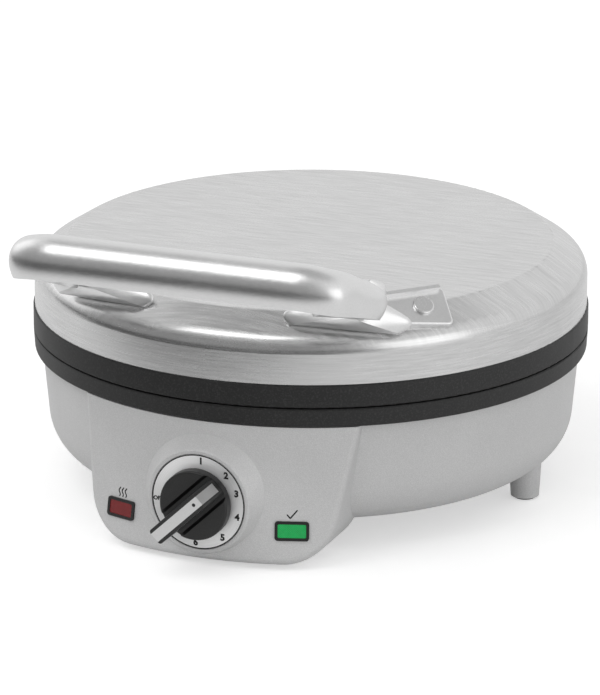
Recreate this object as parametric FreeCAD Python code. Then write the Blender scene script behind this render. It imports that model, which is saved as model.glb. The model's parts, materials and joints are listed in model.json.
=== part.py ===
import FreeCAD, Part
import math
import os
from FreeCAD import Placement, Rotation, Vector

# Sizes in millimetres. Z is up, the front is towards minus Y, X is to the right.
# Radii are measured from the axis of the rings and heights from the table.

# Rings on the two halves
ring_radius = 145.0
seam_height = 83.5
seam_gap = 0.6
upper_ring_height = 12.4
lower_ring_height = 9.9
ring_draft = 0.6
ring_wall = 2.6
ring_web = 3.0
ring_edge_radius = 0.7
ring_opening_inset = 33.0
rest_bump_radius = 3.0
rest_bump_inset = 14.0
rest_clearance = 0.05
rest_bump_angles = (60, 120, 270)

# Steel cover of the lid
cover_inset = 0.8
cover_sheet = 0.8
cover_shoulder_width = 17.8
cover_height = 33.4
cover_shoulder_drop = 11.2
cover_corner_fillet = 11.5
cover_crease_fillet = 3.0
cover_lip_height = 5.0
cover_fit = 0.2
cover_post_radius = 4.0
cover_post_inset = 3.0
cover_post_angles = (20, 160, 200, 340)

# Moulded base housing
housing_wall = 2.6
bowl_inset = 4.4
bowl_draft = 5.4
bowl_floor_height = 15.4
bowl_fillet = 25.0
vent_length = 30.0
vent_width = 4.0
vent_inset = 30.0
vent_count = 12
floor_rib_height = 4.0
floor_rib_width = 2.0
floor_rib_inset = 43.2

# Control pod at the front of the housing
pod_proud = 3.2
pod_flare = 10.2
pod_floor_height = 2.6
pod_top_gap = 0.4
pod_top_half_width = 74.8
pod_taper = 11.8
pod_corner_radius = 26.0
pod_edge_radius = 4.0
pod_depth = 50.0

# Dial boss, dial ring and thermostat
dial_drop = 3.9
boss_proud = 4.8
boss_depth = 13.0
boss_root_radius = 35.0
boss_face_radius = 27.2
boss_edge_radius = 1.2
dial_ring_radius = 25.0
dial_ring_opening = 9.0
dial_ring_sheet = 1.0
dial_ring_gap = 0.35
thermostat_width = 34.0
thermostat_depth = 22.0
thermostat_height = 30.0
bushing_radius = 5.0
bushing_length = 6.0
bushing_fit = 0.15
nut_width = 13.0
nut_sides = 6
nut_thickness = 2.4
shaft_radius = 3.0
shaft_fit = 0.05
shaft_back = 14.0
shaft_length = 28.0
shaft_flat = 0.8

# Control knob
knob_radius = 18.2
knob_gap = 1.2
knob_disc_height = 6.0
knob_edge_radius = 1.0
knob_well_radius = 8.4
knob_well_depth = 3.4
knob_bar_length = 36.0
knob_bar_top_length = 33.4
knob_bar_width = 9.6
knob_bar_top_width = 8.8
knob_bar_height = 28.0
knob_bar_corner = 1.6
knob_channel_width = 13.6
knob_channel_slope = 1.6
knob_channel_depth = 1.8
knob_turn = 43.5
inlay_width = 5.3
inlay_sheet = 1.0
inlay_drop = 19.5
clip_width = 5.0
clip_sheet = 0.5
clip_length = 8.0

# Indicator windows
window_place = 17.9
window_height = 21.1
window_frame_width = 17.4
window_frame_height = 10.0
window_frame_proud = 0.7
window_frame_rim = 1.5
window_frame_depth = 6.0
window_corner = 1.6
window_fit = 0.2
lens_proud = 0.4
lens_depth = 4.0
lamp_radius = 2.6
lamp_length = 12.0
lamp_tip = 1.0

# Feet
post_inset = 16.9
post_angles = (2.1, 57.7)
post_foot_radius = 7.4
post_root_radius = 9.4
post_root_height = 34.0
pad_radius = 5.4
pad_proud = 1.2
pad_recess = 2.8
front_pad_side = 23.0
front_pad_inset = 30.0
front_pad_radius = 7.0
front_pad_recess = 1.4

# Baking plates
plate_rim_gap = 0.5
plate_flange_lap = 6.0
plate_flange_sheet = 4.0
plate_rim_drop = 0.2
cavity_margin = 11.0
cavity_draft = 6.0
cavity_depth = 14.0
plate_floor_sheet = 4.0
plate_wall = 3.0
plate_fillet = 3.0
peg_pitch = 20.6
peg_base = 16.4
peg_top = 12.6
peg_height = 10.0
peg_margin = 5.0
divider_base = 4.4
divider_top = 2.8
divider_height = 10.6
divider_end = 1.1

# Heating elements and their clamps
element_radius = 3.3
element_inset = 25.0
element_leg_spread = 24.0
element_bend_radius = 10.0
element_leg_inset = 2.0
element_pin_radius = 1.6
element_pin_length = 7.0
clamp_angles = (30, 90, 150)
clamp_sheet = 1.2
clamp_width = 11.0
clamp_half_span = 12.0
clamp_screw_offset = 8.0

# Heat reflectors
reflector_sheet = 0.8
reflector_floor_drop = 31.5
reflector_gap = 1.0
reflector_root_gap = 2.5
reflector_flange_inset = 1.0
reflector_fillet = 6.0
reflector_leg_hole = 5.5

# Screws
screw_radius = 1.6
screw_head_radius = 3.2
screw_head_height = 2.0
screw_hole_fit = 0.2
plate_screw_inset = 3.4
plate_screw_bite = 2.0
plate_screw_angles = (45, 135, 225, 315)
clamp_screw_bite = 2.6
boss_radius = 5.2
boss_inset = 16.5
boss_angles = (38, 142, 246, 294)
boss_split_drop = 7.6
boss_well_radius = 3.8
boss_web = 3.0
housing_screw_bite = 9.0
cover_screw_bite = 9.0
cover_screw_sink = 1.6
cover_screw_head_height = 1.4

# Hinge
hinge_offset = 12.5
hinge_pin_radius = 3.0
hinge_pin_fit = 0.05
hinge_ear_radius = 8.0
hinge_ear_width = 11.0
hinge_half_width = 44.0
hinge_side_gap = 0.8
hinge_knuckle_radius = 7.4
hinge_gland_gap = 1.0
hinge_root_depth = 25.0
hinge_pin_head_radius = 4.6
hinge_pin_head = 1.6
hinge_arm_low = 1.0
hinge_arm_high = 11.0
hinge_screw_place = 22.0
hinge_screw_bite = 9.0
hinge_seat_radius = 4.0
hinge_seat_wall = 1.7
hinge_ring_gap = 1.6
hinge_edge_radius = 2.0

# Handle casting and its rivets
handle_offset = 37.0
handle_rise = 32.8
handle_half_depth = 12.0
handle_top_rise = 12.2
handle_under_drop = 8.4
handle_tuck = 11.73
arm_bend = 18.0
arm_tuck = 8.5
arm_end_ahead = 20.6
arm_end_rise = 0.64
grip_edge_share = 0.86
grip_bulge_share = 1.28
grip_bulge_rise_share = 0.25
grip_crown_share = 0.7
grip_run_shares = (0.0, 0.319, 0.638, 0.856, 1.0, 1.0, 1.0, 1.0, 1.0, 1.0, 1.0)
arm_run_shares = (0.0, 0.0, 0.0, 0.0, 0.0, 0.0, 0.0, 0.0, 0.449, 0.794, 1.0)
arm_tuck_shares = (0.0, 0.0, 0.0, 0.0, 0.0, 0.0, 0.0, 0.0, 0.235, 0.776, 1.0)
arm_fall_shares = (0.0, 0.0, 0.0, 0.0, 0.0, 0.04, 0.12, 0.2, 0.41, 0.68, 1.0)
arm_depth_shares = (1.0, 1.0, 1.0, 1.0, 1.0, 1.0, 0.98, 0.92, 0.72, 0.65, 0.55)
arm_rise_shares = (1.0, 1.0, 1.0, 1.0, 1.0, 1.0, 0.97, 0.9, 0.66, 0.44, 0.18)
arm_under_shares = (1.0, 1.0, 1.0, 1.0, 1.0, 1.03, 1.08, 1.14, 1.3, 1.25, 0.6)
arm_turns = (0, 0, 0, 0, 0, 30, 60, 86, 98, 103, 96)
arm_dips = (0, 0, 0, 0, 0, 6, 13, 18, 24, 32, 34)
arm_leans = (0, 0, 0, 0, 0, 0, 0, 0, 4, 12, 22)
tab_place_angle = 43.5
tab_inset = 13.6
tab_lean = 36
tab_end = 15.0
tab_root = 27.0
tab_lip_root = 18.0
tab_taper = 2.7
tab_up = 10.0
tab_down = 13.5
tab_root_down = 8.7
tab_rise = 4.0
tab_depth = 9.0
tab_corner = 3.0
tab_edge = 1.2
tab_lip_width = 2.0
tab_lip_rise = 2.6
rivet_head_radius = 5.4
rivet_head_height = 1.5
rivet_head_edge = 0.8
rivet_shank_radius = 2.4
rivet_tail_radius = 4.0
rivet_tail_height = 1.6
backing_radius = 9.0
backing_depth = 3.2
rivet_reach = 14.0

# Small electrical pieces
block_width = 30.0
block_depth = 14.0
block_height = 13.0
block_inset = 61.2
block_step = 9.0
block_well_radius = 2.6
block_well_depth = 4.0
gland_rise = 16.6
gland_flange_radius = 9.0
gland_flange = 2.4
gland_body_radius = 6.6
gland_bore_radius = 3.9
gland_root_depth = 8.6
gland_tail = 6.0
gland_tip_radius = 6.0
fuse_radius = 3.0
fuse_length = 13.0
fuse_strap = 1.0
fuse_strap_width = 6.0
fuse_strap_span = 9.0
fuse_seat = 0.2
fuse_place_x = 34.0
wire_radius = 1.1
wire_floor = 24.0
wire_rise = 8.0
wire_spread = 9.0
wire_bow = 7.0
wire_bend = 3.0

loft_degree = 3
full_turn = 360
quarter_turn = 90
half_turn = 180
near = 0.01
long_cut = 400.0

up = Vector(0, 0, 1)
down = Vector(0, 0, -1)
front = Vector(0, -1, 0)
back = Vector(0, 1, 0)
right = Vector(1, 0, 0)

# Levels and radii that follow from the sizes above
lower_ring_top = seam_height - seam_gap / 2
lower_ring_bottom = seam_height - lower_ring_height
upper_ring_bottom = seam_height + seam_gap / 2
upper_ring_top = seam_height + upper_ring_height
lower_web_under = lower_ring_top - ring_web
upper_web_top = upper_ring_bottom + ring_web
ring_opening_radius = ring_radius - ring_opening_inset
rest_bump_place = ring_radius - rest_bump_inset
cover_wall_radius = ring_radius - cover_inset
cover_top_radius = cover_wall_radius - cover_shoulder_width
cover_top_height = upper_ring_top + cover_height
cover_corner_height = cover_top_height - cover_shoulder_drop
cover_post_place = cover_top_radius - cover_post_inset
bowl_top_radius = ring_radius - bowl_inset
bowl_foot_radius = bowl_top_radius - bowl_draft
floor_rib_place = bowl_foot_radius - floor_rib_inset
vent_place = floor_rib_place - vent_inset
housing_floor_top = bowl_floor_height + housing_wall
pod_top_height = lower_ring_bottom - pod_top_gap
pod_top_radius = bowl_top_radius + pod_proud
pod_foot_radius = pod_top_radius + pod_flare
pod_foot_half_width = pod_top_half_width - pod_taper
pod_back = pod_foot_radius - pod_depth
front_pad_place_x = pod_foot_half_width - front_pad_side
front_pad_place_y = pod_foot_radius - front_pad_inset
post_place_radius = bowl_foot_radius - post_inset
dial_height = (pod_top_height + pod_floor_height) / 2 - dial_drop
dial_flare_share = (pod_top_height - dial_height) / (pod_top_height - pod_floor_height)
dial_reach = pod_top_radius + pod_flare * dial_flare_share + boss_proud
boss_root_reach = dial_reach - boss_depth
dial_seat_reach = dial_reach - dial_ring_sheet
boss_back_reach = dial_seat_reach - housing_wall
thermostat_back = boss_back_reach - thermostat_depth
plate_floor_top = seam_height - cavity_depth
plate_back_height = plate_floor_top - plate_floor_sheet
plate_flange_radius = ring_opening_radius + plate_flange_lap
cavity_rim_radius = ring_opening_radius - cavity_margin
cavity_floor_radius = cavity_rim_radius - cavity_draft
plate_back_radius = cavity_floor_radius + plate_wall
plate_root_radius = cavity_rim_radius + plate_wall
peg_field_radius = cavity_floor_radius - peg_margin
peg_rows = math.floor(peg_field_radius / peg_pitch)
divider_reach = cavity_rim_radius - divider_end
element_height = plate_back_height - element_radius
element_loop_radius = cavity_floor_radius - element_inset
element_leg_reach = ring_opening_radius - element_leg_inset
reflector_floor = seam_height - reflector_floor_drop
reflector_floor_radius = plate_back_radius + reflector_gap
reflector_root_radius = plate_root_radius + reflector_root_gap
reflector_flange_radius = plate_flange_radius - reflector_flange_inset
flange_under = lower_web_under - plate_flange_sheet
reflector_under = flange_under - reflector_sheet
plate_screw_place = plate_flange_radius - plate_screw_inset
boss_place = ring_radius - boss_inset
boss_split_height = lower_ring_bottom - boss_split_drop
block_place_y = bowl_foot_radius - block_inset
gland_height = bowl_floor_height + gland_rise
hinge_height = seam_height
hinge_reach = ring_radius + hinge_offset
hinge_block_reach = hinge_reach + hinge_ear_radius
hinge_block_root = ring_radius - hinge_root_depth
hinge_block_top = lower_ring_bottom - hinge_ring_gap
hinge_block_floor = gland_height + gland_flange_radius + hinge_gland_gap
hinge_screw_height = (hinge_block_floor + hinge_block_top) / 2
handle_reach = ring_radius + handle_offset
handle_height = cover_top_height + handle_rise
tab_place_radius = cover_wall_radius - tab_inset
tab_side = tab_place_radius * math.cos(math.radians(tab_place_angle))
tab_ahead = tab_place_radius * math.sin(math.radians(tab_place_angle))
tab_fall_share = (cover_shoulder_width - tab_inset) / cover_shoulder_width
tab_height = cover_top_height - cover_shoulder_drop * tab_fall_share
handle_half_span = tab_side - handle_tuck
arm_back_reach = handle_reach - tab_ahead - arm_end_ahead
arm_fall = handle_height - tab_height - arm_end_rise
front_reach = max(dial_reach + knob_bar_height, handle_reach + handle_half_depth)
axis_y = (front_reach - hinge_block_reach) / 2


def corner_wire(corners, place):
    """Closed wire through corners given as (u, v, radius), each put in space by place."""
    points = [Vector(u, v, 0) for u, v, radius in corners]
    count = len(points)
    starts, ends, arcs = [], [], []
    for index, (u, v, radius) in enumerate(corners):
        corner = points[index]
        if radius == 0:
            starts.append(corner)
            ends.append(corner)
            arcs.append(None)
            continue
        before = (points[index - 1] - corner).normalize()
        after = (points[(index + 1) % count] - corner).normalize()
        half = before.getAngle(after) / 2
        run = radius / math.tan(half)
        middle = (before + after).normalize() * (radius / math.sin(half) - radius)
        starts.append(corner + before * run)
        ends.append(corner + after * run)
        arcs.append(corner + middle)
    edges = []
    for index in range(count):
        start, end = starts[index], ends[index]
        following = starts[(index + 1) % count]
        if arcs[index] is not None:
            middle = arcs[index]
            arc = Part.Arc(place(start.x, start.y), place(middle.x, middle.y), place(end.x, end.y))
            edges.append(arc.toShape())
        if end.distanceToPoint(following) > near:
            edges.append(Part.makeLine(place(end.x, end.y), place(following.x, following.y)))
    return Part.Wire(edges)


def upright(u, v):
    """Point at radius u and height v in the plane of X and Z."""
    return Vector(u, 0, v)


def turned(corners):
    """Solid of revolution about the vertical axis."""
    return Part.Face(corner_wire(corners, upright)).revolve(Vector(), up, full_turn)


def pulled(corners, place, travel):
    """Prism on a flat outline."""
    return Part.Face(corner_wire(corners, place)).extrude(travel)


def rod(radius, length, start, axis):
    """Round bar from a start point along an axis."""
    return Part.makeCylinder(radius, length, start, axis)


def around(radius, angle, height):
    """Point at a radius and a compass angle, counted from plus X towards plus Y."""
    turn = math.radians(angle)
    return Vector(radius * math.cos(turn), radius * math.sin(turn), height)


def slab(low, high):
    """Block between two corner points."""
    size = high - low
    return Part.makeBox(size.x, size.y, size.z, low)


def swept_disc(radius, start, heading, centre, axis, degrees):
    """Round bar bent about an axis, from a start point and its heading there."""
    disc = Part.Face(Part.Wire(Part.makeCircle(radius, start, heading)))
    return disc.revolve(centre, axis, degrees)


def tube(points, radius, bend):
    """Round wire along straight runs that round bends join."""
    runs = []
    start = points[0]
    for before, corner, after in zip(points, points[1:], points[2:]):
        arrive = (corner - before).normalize()
        leave = (after - corner).normalize()
        turn = arrive.getAngle(leave)
        run = bend * math.tan(turn / 2)
        enter = corner - arrive * run
        axis = arrive.cross(leave).normalize()
        centre = enter + axis.cross(arrive) * bend
        runs.append(rod(radius, enter.distanceToPoint(start), start, arrive))
        runs.append(swept_disc(radius, enter, arrive, centre, axis, math.degrees(turn)))
        start = corner + leave * run
    last = points[-1] - start
    runs.append(rod(radius, last.Length, start, last))
    return runs[0].multiFuse(runs[1:])


def strap_outline(half, span, top, low, sheet):
    """Front view of a strap that bridges a round bar and lies flat on both sides of it."""
    return [
        (-span, top, 0),
        (-half, top, 0),
        (-half, low, 0),
        (half, low, 0),
        (half, top, 0),
        (span, top, 0),
        (span, top - sheet, 0),
        (half + sheet, top - sheet, 0),
        (half + sheet, low - sheet, 0),
        (-half - sheet, low - sheet, 0),
        (-half - sheet, top - sheet, 0),
        (-span, top - sheet, 0),
    ]


def inset_line(points, depth):
    """Open line moved to its right by a depth."""
    lines = []
    for (u0, v0), (u1, v1) in zip(points, points[1:]):
        size = math.hypot(u1 - u0, v1 - v0)
        aside = ((v1 - v0) / size * depth, (u0 - u1) / size * depth)
        start = (u0 + aside[0], v0 + aside[1])
        end = (u1 + aside[0], v1 + aside[1])
        lines.append((start, (u1 - u0, v1 - v0), end))
    moved = [lines[0][0]]
    for (a, da, end_a), (b, db, end_b) in zip(lines, lines[1:]):
        cross = da[0] * db[1] - da[1] * db[0]
        share = ((b[0] - a[0]) * db[1] - (b[1] - a[1]) * db[0]) / cross
        moved.append((a[0] + share * da[0], a[1] + share * da[1]))
    moved.append(lines[-1][2])
    return moved


def to_upper(shape):
    """Lower piece turned over about the seam, with its terminals towards the hinge."""
    turned_over = shape.mirror(Vector(0, 0, seam_height), up)
    turned_over.rotate(Vector(), up, half_turn)
    return turned_over


def base_ring():
    corners = [
        (ring_opening_radius, lower_ring_top, 0),
        (ring_radius, lower_ring_top, ring_edge_radius),
        (ring_radius - ring_draft, lower_ring_bottom, ring_edge_radius),
        (ring_radius - ring_wall, lower_ring_bottom, 0),
        (ring_radius - ring_wall, lower_web_under, 0),
        (ring_opening_radius, lower_web_under, 0),
    ]
    ring = turned(corners)
    bump_height = seam_gap - rest_clearance
    bumps = []
    for angle in rest_bump_angles:
        start = around(rest_bump_place, angle, lower_ring_top - ring_web / 2)
        bumps.append(rod(rest_bump_radius, bump_height + ring_web / 2, start, up))
    for angle in boss_angles:
        start = around(boss_place, angle, boss_split_height)
        bumps.append(rod(boss_radius, lower_ring_top - ring_web / 2 - boss_split_height, start, up))
    ring = ring.multiFuse(bumps)
    for angle in boss_angles:
        start = around(boss_place, angle, boss_split_height)
        ring = ring.cut(rod(screw_radius, housing_screw_bite, start, up))
    for angle in plate_screw_angles:
        start = around(plate_screw_place, angle, lower_web_under)
        ring = ring.cut(rod(screw_radius, plate_screw_bite, start, up))
    return ring.removeSplitter()


def lid_ring():
    lip = cover_wall_radius - cover_sheet - cover_fit
    corners = [
        (ring_opening_radius, upper_ring_bottom, 0),
        (ring_radius, upper_ring_bottom, ring_edge_radius),
        (ring_radius, upper_ring_top, ring_edge_radius),
        (lip, upper_ring_top, 0),
        (lip, upper_ring_top + cover_lip_height, 0),
        (lip - ring_wall, upper_ring_top + cover_lip_height, 0),
        (lip - ring_wall, upper_web_top, 0),
        (ring_opening_radius, upper_web_top, 0),
    ]
    ring = turned(corners)
    for angle in plate_screw_angles:
        start = around(plate_screw_place, angle, upper_web_top)
        ring = ring.cut(rod(screw_radius, plate_screw_bite, start, down))
    for angle in cover_post_angles:
        start = around(cover_post_place, angle, upper_ring_bottom)
        ring = ring.cut(rod(screw_radius + screw_hole_fit, ring_web, start, up))
        ring = ring.cut(rod(screw_head_radius + screw_hole_fit, cover_screw_sink, start, up))
    for side in (-1, 1):
        ring = ring.cut(hinge_screw(side, True, screw_hole_fit, ring_radius))
    return ring.removeSplitter()


def cover_line():
    """Outer line of the steel cover from the middle of its top to its lower edge."""
    return [
        (0, cover_top_height),
        (cover_top_radius, cover_top_height),
        (cover_wall_radius, cover_corner_height),
        (cover_wall_radius, upper_ring_top),
    ]


def cover_envelope():
    """Full solid inside the outer face of the steel cover."""
    radii = (0, cover_crease_fillet, cover_corner_fillet, 0)
    corners = [(u, v, radius) for (u, v), radius in zip(cover_line(), radii)]
    return turned(corners + [(0, upper_ring_top, 0)])


def cover_hollow():
    """Full solid inside the inner face of the steel cover."""
    radii = (0, cover_crease_fillet - cover_sheet, cover_corner_fillet - cover_sheet, 0)
    line = inset_line(cover_line(), cover_sheet)
    corners = [(u, v, radius) for (u, v), radius in zip(line, radii)]
    return turned(corners + [(0, upper_ring_top, 0)])


def lid_cover():
    shell = cover_envelope().cut(cover_hollow())
    posts = []
    for angle in cover_post_angles:
        start = around(cover_post_place, angle, upper_web_top)
        post = rod(cover_post_radius, cover_top_height - cover_sheet / 2 - upper_web_top, start, up)
        posts.append(post.cut(rod(screw_radius, cover_screw_bite, start, up)))
    shell = shell.multiFuse(posts)
    return shell.cut(on_both_tabs(rivet_shank())).removeSplitter()


def bowl_solid(inset, top):
    """Full solid of the round housing, drawn in by inset."""
    corners = [
        (0, bowl_floor_height + inset, 0),
        (bowl_foot_radius - inset, bowl_floor_height + inset, bowl_fillet - inset),
        (bowl_top_radius - inset, lower_ring_bottom, 0),
        (bowl_top_radius - inset, top, 0),
        (0, top, 0),
    ]
    return turned(corners)


def pod_face_radius(height):
    """Radius of the pod's front face at a height."""
    share = (pod_top_height - height) / (pod_top_height - pod_floor_height)
    return pod_top_radius + (pod_foot_radius - pod_top_radius) * share


def pod_solid(inset):
    """Full solid of the control pod, drawn in by inset."""
    low = pod_floor_height + inset
    high = pod_top_height - inset
    turned_face = turned([
        (0, low, 0),
        (pod_face_radius(low) - inset, low, 0),
        (pod_face_radius(high) - inset, high, 0),
        (0, high, 0),
    ])
    outline = [
        (-(pod_top_half_width - inset), high, 0),
        (pod_top_half_width - inset, high, 0),
        (pod_foot_half_width - inset, low, pod_corner_radius - inset),
        (-(pod_foot_half_width - inset), low, pod_corner_radius - inset),
    ]
    start = pod_back - inset
    travel = front * (pod_foot_radius - start + ring_radius)
    block = pulled(outline, lambda u, v: Vector(u, -start, v), travel)
    return turned_face.common(block)


def pod_outer():
    """Control pod with its front edge rounded."""
    solid = pod_solid(0)
    edges = []
    for edge in solid.Edges:
        middle = edge.valueAt((edge.FirstParameter + edge.LastParameter) / 2)
        off = abs(math.hypot(middle.x, middle.y) - pod_face_radius(middle.z))
        if off < near and middle.z < pod_top_height - near:
            edges.append(edge)
    return solid.makeFillet(pod_edge_radius, edges)


def dial_point(reach):
    """Point on the dial axis at a distance in front of the ring axis."""
    return Vector(0, -reach, dial_height)


def boss_outer():
    length = dial_reach - boss_root_reach
    cone = Part.makeCone(boss_root_radius, boss_face_radius, length, dial_point(boss_root_reach), front)
    rim = [edge for edge in cone.Edges if abs(edge.CenterOfMass.y + dial_reach) < near]
    cone = cone.makeFillet(boss_edge_radius, rim)
    low = Vector(-boss_root_radius, -dial_reach, pod_floor_height)
    high = Vector(boss_root_radius, -boss_root_reach, pod_top_height)
    return cone.common(slab(low, high))


def boss_hollow():
    length = boss_back_reach - boss_root_reach
    low = boss_root_radius - housing_wall
    high = boss_face_radius - housing_wall
    return Part.makeCone(low, high, length, dial_point(boss_root_reach), front)


def post_places():
    places = []
    for angle in post_angles:
        places.append(around(post_place_radius, angle, 0))
        places.append(around(post_place_radius, half_turn - angle, 0))
    return places


def front_pad_places():
    return [Vector(side * front_pad_place_x, -front_pad_place_y, 0) for side in (-1, 1)]


def window_frame_placement(side):
    """Place of an indicator window: local Z points out of the pod's face."""
    flare = (pod_foot_radius - pod_top_radius) / (pod_top_height - pod_floor_height)
    tilt = math.degrees(math.atan(flare))
    turn = Rotation(up, side * window_place) * Rotation(right, quarter_turn - tilt)
    place = around(pod_face_radius(window_height), side * window_place - quarter_turn, window_height)
    return Placement(place, turn)


def window_block(width, height, corner, low, high, side):
    """Rounded block in an indicator window, between two depths."""
    outline = [
        (-width / 2, -height / 2, corner),
        (width / 2, -height / 2, corner),
        (width / 2, height / 2, corner),
        (-width / 2, height / 2, corner),
    ]
    block = pulled(outline, lambda u, v: Vector(u, v, low), up * (high - low))
    block.Placement = window_frame_placement(side)
    return block


def window_hole(side):
    width = window_frame_width - window_frame_rim
    height = window_frame_height - window_frame_rim
    low = -window_frame_depth - housing_wall
    return window_block(width, height, window_corner, low, housing_wall, side)


def base_housing():
    outer = bowl_solid(0, lower_web_under).multiFuse([pod_outer(), boss_outer()])
    posts = []
    for place in post_places():
        height = post_root_height - pad_proud
        posts.append(Part.makeCone(post_foot_radius, post_root_radius, height, place + up * pad_proud))
    outer = outer.multiFuse(posts)
    hollow = bowl_solid(housing_wall, lower_web_under).multiFuse([pod_solid(housing_wall), boss_hollow()])
    shell = outer.cut(hollow)
    added = []
    for angle in boss_angles:
        start = around(boss_place, angle, pod_floor_height)
        added.append(rod(boss_radius, boss_split_height - pod_floor_height, start, up).common(outer))
    rib = rod(floor_rib_place, floor_rib_height + near, Vector(0, 0, housing_floor_top - near), up)
    rib = rib.cut(rod(floor_rib_place - floor_rib_width, long_cut, Vector(), up))
    added.append(rib)
    shell = shell.multiFuse(added)
    cuts = []
    for angle in boss_angles:
        start = around(boss_place, angle, 0)
        cuts.append(rod(boss_well_radius, boss_split_height - boss_web, start, up))
        cuts.append(rod(screw_radius + screw_hole_fit, boss_split_height, start, up))
    for index in range(vent_count):
        outline = [
            (vent_place - vent_length / 2, -vent_width / 2, vent_width / 2 - near),
            (vent_place + vent_length / 2, -vent_width / 2, vent_width / 2 - near),
            (vent_place + vent_length / 2, vent_width / 2, vent_width / 2 - near),
            (vent_place - vent_length / 2, vent_width / 2, vent_width / 2 - near),
        ]
        slot = pulled(outline, lambda u, v: Vector(u, v, 0), up * (housing_floor_top + near))
        slot.rotate(Vector(), up, full_turn * (index + 1 / 2) / vent_count)
        cuts.append(slot)
    for place in post_places():
        cuts.append(rod(pad_radius, pad_recess, place + up * pad_proud, up))
    for place in front_pad_places():
        cuts.append(rod(front_pad_radius, front_pad_recess, place + up * pod_floor_height, up))
    ring_seat = dial_ring_radius + dial_ring_gap
    cuts.append(rod(ring_seat, dial_ring_sheet, dial_point(dial_seat_reach), front))
    bushing_run = dial_reach - boss_back_reach
    cuts.append(rod(bushing_radius + bushing_fit, bushing_run, dial_point(boss_back_reach), front))
    for side in (-1, 1):
        cuts.append(window_hole(side))
        cuts.append(hinge_screw(side, False, screw_hole_fit, bowl_top_radius))
    gland_root = gland_wall_radius() - gland_root_depth
    cuts.append(rod(gland_body_radius, gland_root_depth + gland_tail, gland_point(gland_root), back))
    return shell.cut(cuts).removeSplitter()


def rubber_feet():
    pads = []
    for place in post_places():
        pads.append(rod(pad_radius, pad_proud + pad_recess, place, up))
    for place in front_pad_places():
        pads.append(rod(front_pad_radius, pod_floor_height + front_pad_recess, place, up))
    return Part.makeCompound(pads)


def peg(u, v):
    """Tapered square peg of the waffle grid standing on the plate floor."""
    wires = []
    for size, height in ((peg_base, plate_floor_top), (peg_top, plate_floor_top + peg_height)):
        half = size / 2
        ways = ((-half, -half), (half, -half), (half, half), (-half, half))
        corners = [(u + way_u, v + way_v, 0) for way_u, way_v in ways]
        wires.append(corner_wire(corners, lambda a, b: Vector(a, b, height)))
    return Part.makeLoft(wires, True, True)


def waffle_pegs():
    """All pegs of one plate, those at the edge cut to the round field."""
    field = rod(peg_field_radius, long_cut, Vector(), up)
    pegs = []
    half = peg_base / 2
    for row in range(peg_rows):
        for column in range(peg_rows):
            u = divider_base / 2 + peg_pitch * (row + 1 / 2)
            v = divider_base / 2 + peg_pitch * (column + 1 / 2)
            if math.hypot(u, v) > peg_field_radius:
                continue
            for side_u in (-1, 1):
                for side_v in (-1, 1):
                    piece = peg(side_u * u, side_v * v)
                    if math.hypot(u + half, v + half) > peg_field_radius:
                        piece = piece.common(field)
                    pegs.append(piece)
    return pegs


def divider(turn):
    """Tapered wall across the plate that parts two waffle quarters."""
    corners = [
        (-divider_base / 2, plate_floor_top, 0),
        (divider_base / 2, plate_floor_top, 0),
        (divider_top / 2, plate_floor_top + divider_height, 0),
        (-divider_top / 2, plate_floor_top + divider_height, 0),
    ]
    place = lambda u, v: Vector(-divider_reach, u, v)
    wall = pulled(corners, place, right * (divider_reach + divider_reach))
    wall.rotate(Vector(), up, turn)
    return wall


def lower_baking_plate():
    rim_top = lower_ring_top - plate_rim_drop
    rim = ring_opening_radius - plate_rim_gap
    pan = turned([
        (0, plate_back_height, 0),
        (plate_back_radius, plate_back_height, plate_fillet),
        (plate_root_radius, flange_under, 0),
        (plate_flange_radius, flange_under, 0),
        (plate_flange_radius, lower_web_under, 0),
        (rim, lower_web_under, 0),
        (rim, rim_top, 0),
        (cavity_rim_radius, rim_top, plate_fillet),
        (cavity_floor_radius, plate_floor_top, plate_fillet),
        (0, plate_floor_top, 0),
    ])
    plate = pan.multiFuse(waffle_pegs() + [divider(0), divider(quarter_turn)])
    cuts = [plate_screw_hole(angle) for angle in plate_screw_angles]
    for start in clamp_screw_points():
        cuts.append(rod(screw_radius, clamp_screw_bite, start, up))
    return plate.cut(cuts).removeSplitter()


def plate_screw_hole(angle):
    start = around(plate_screw_place, angle, reflector_under)
    return rod(screw_radius + screw_hole_fit, lower_web_under - reflector_under, start, up)


def lower_plate_screws():
    screws = []
    for angle in plate_screw_angles:
        start = around(plate_screw_place, angle, reflector_under)
        head = rod(screw_head_radius, screw_head_height, start, down)
        shank = rod(screw_radius, lower_web_under - reflector_under + plate_screw_bite, start, up)
        screws.append(head.fuse(shank))
    return Part.makeCompound(screws)


def lower_heating_element():
    """Round loop under the plate whose two ends bend outwards into straight legs."""
    bend_x = element_leg_spread + element_bend_radius
    bend_distance = element_loop_radius + element_bend_radius
    bend_y = -math.sqrt(bend_distance ** 2 - bend_x ** 2)
    share = element_loop_radius / bend_distance
    touch = Vector(bend_x * share, bend_y * share, element_height)
    bend_centre = Vector(bend_x, bend_y, element_height)
    leg_end = Vector(element_leg_spread, bend_y, element_height)
    leg_tip = Vector(element_leg_spread, -element_leg_reach, element_height)
    bend_angle = math.degrees((leg_end - bend_centre).getAngle(touch - bend_centre))
    start_angle = math.degrees(math.atan2(touch.y, touch.x))
    loop_angle = half_turn - start_angle - start_angle
    heading = up.cross(touch - up * element_height)
    loop = swept_disc(element_radius, touch, heading, Vector(), up, loop_angle)
    leg = rod(element_radius, leg_end.y - leg_tip.y, leg_tip, back)
    bend = swept_disc(element_radius, leg_end, back, bend_centre, down, bend_angle)
    pin = rod(element_pin_radius, element_pin_length, leg_tip, front)
    ends = leg.multiFuse([bend, pin])
    return loop.multiFuse([ends, ends.mirror(Vector(), right)])


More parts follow.
